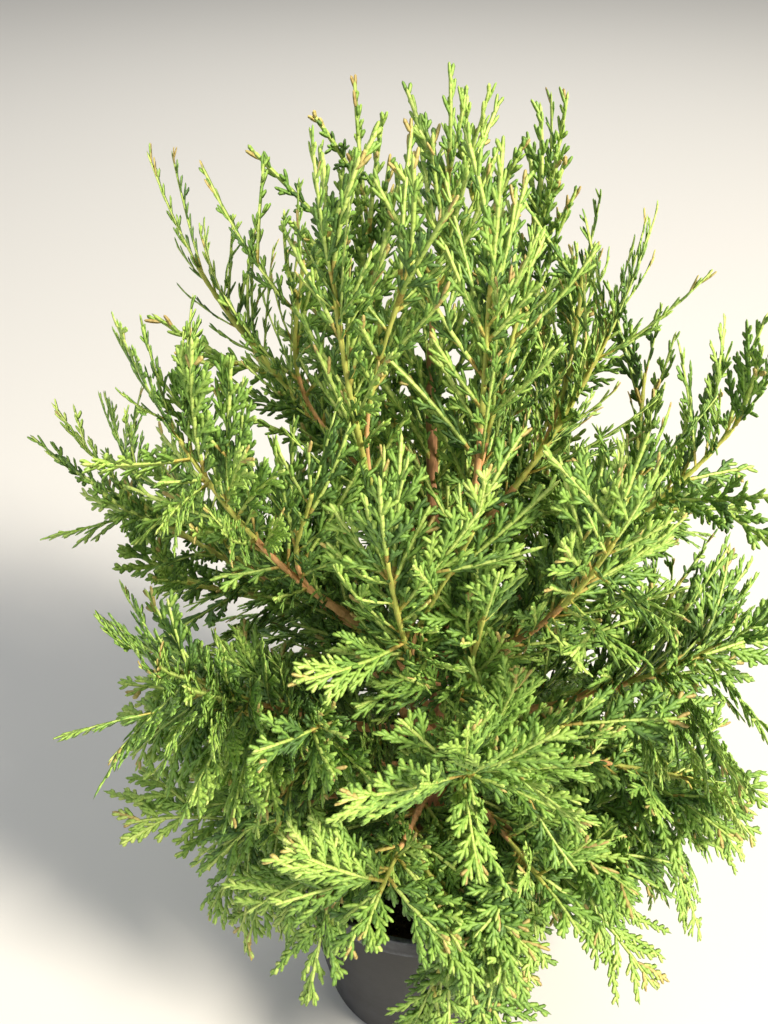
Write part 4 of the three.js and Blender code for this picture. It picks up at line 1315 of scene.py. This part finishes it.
fronds = grow()
dress(make_pot(), "pot_plastic", "pot")
for piece in make_soil(np.random.default_rng(SEEDS.soil)):
    dress(piece, "potting_soil", "soil")
dress(make_trunk(), "trunk_bark", "trunk")
dress(make_boughs(fronds, young_bark), "bough_bark", *[f"bough_{limb.name}" for limb in BOUGHS])
for tier in TIERS:
    for half, in_front in (("front", True), ("back", False)):
        members = [limb for limb in LIMBS + SHOOTS
                   if limb.tier == tier["name"] and limb.in_front == in_front]
        make_sprays(tier["name"], half, members, fronds, greens, (young_bark, shoot_bark))

# In metres, so wide that its edge stays far behind the plant.
FLOOR_SIZE = 40
# The camera stands where the photograph was taken from, in millimetres, and looks 35 degrees
# down. The picture is upright, so its height goes with the sensor's longer side.
CAMERA = SimpleNamespace(
    place=(-28, -481, 738), down=35, focal_pixels=1100, picture_height=1024, sensor=36,
    nearest=0.01)
camera_data = bpy.data.cameras.new("camera")
camera_data.sensor_width = CAMERA.sensor
camera_data.lens = CAMERA.focal_pixels * CAMERA.sensor / CAMERA.picture_height
camera_data.clip_start = CAMERA.nearest
camera = bpy.data.objects.new("camera", camera_data)
camera.location = Vector(CAMERA.place) * METRE
camera.rotation_euler = (math.radians(90 - CAMERA.down), 0, 0)
bpy.context.scene.collection.objects.link(camera)
bpy.context.scene.camera = camera

# Soft square lights that look at the middle of the crown: place and size in metres, power, tone.
CROWN = Vector((0, 0, 0.36))
LIGHTS = dict(
    key=((2.3, -1.9, 3.0), 0.9, 300, "#fff7ea"), fill=((-2.6, -1.2, 1.8), 2.4, 22, "#e8f0ff"),
    back=((0.2, 2.6, 2.6), 1.8, 30, "#ffffff"))
for name, (place, size, power, tone) in LIGHTS.items():
    lamp = bpy.data.lights.new(name, "AREA")
    lamp.size = size
    lamp.energy = power
    lamp.color = colour(tone)[:3]
    light = bpy.data.objects.new(name, lamp)
    light.location = place
    light.rotation_euler = (CROWN - light.location).to_track_quat("-Z", "Y").to_euler()
    bpy.context.scene.collection.objects.link(light)

pick()
bpy.ops.mesh.primitive_plane_add(size=FLOOR_SIZE)
floor = bpy.context.object
floor.name = floor.data.name = "floor"
floor.data.materials.append(
    new_material("pale_floor", {"Base Color": "#dedbd4", "Roughness": 0.8, "IOR": 1.5})[0])

world = bpy.data.worlds.new("soft_sky")
world.use_nodes = True
set_inputs(world.node_tree.nodes["Background"], {"Color": "#e9edf2", "Strength": 0.36})
bpy.context.scene.world = world
bpy.context.scene.view_settings.view_transform = "Standard"
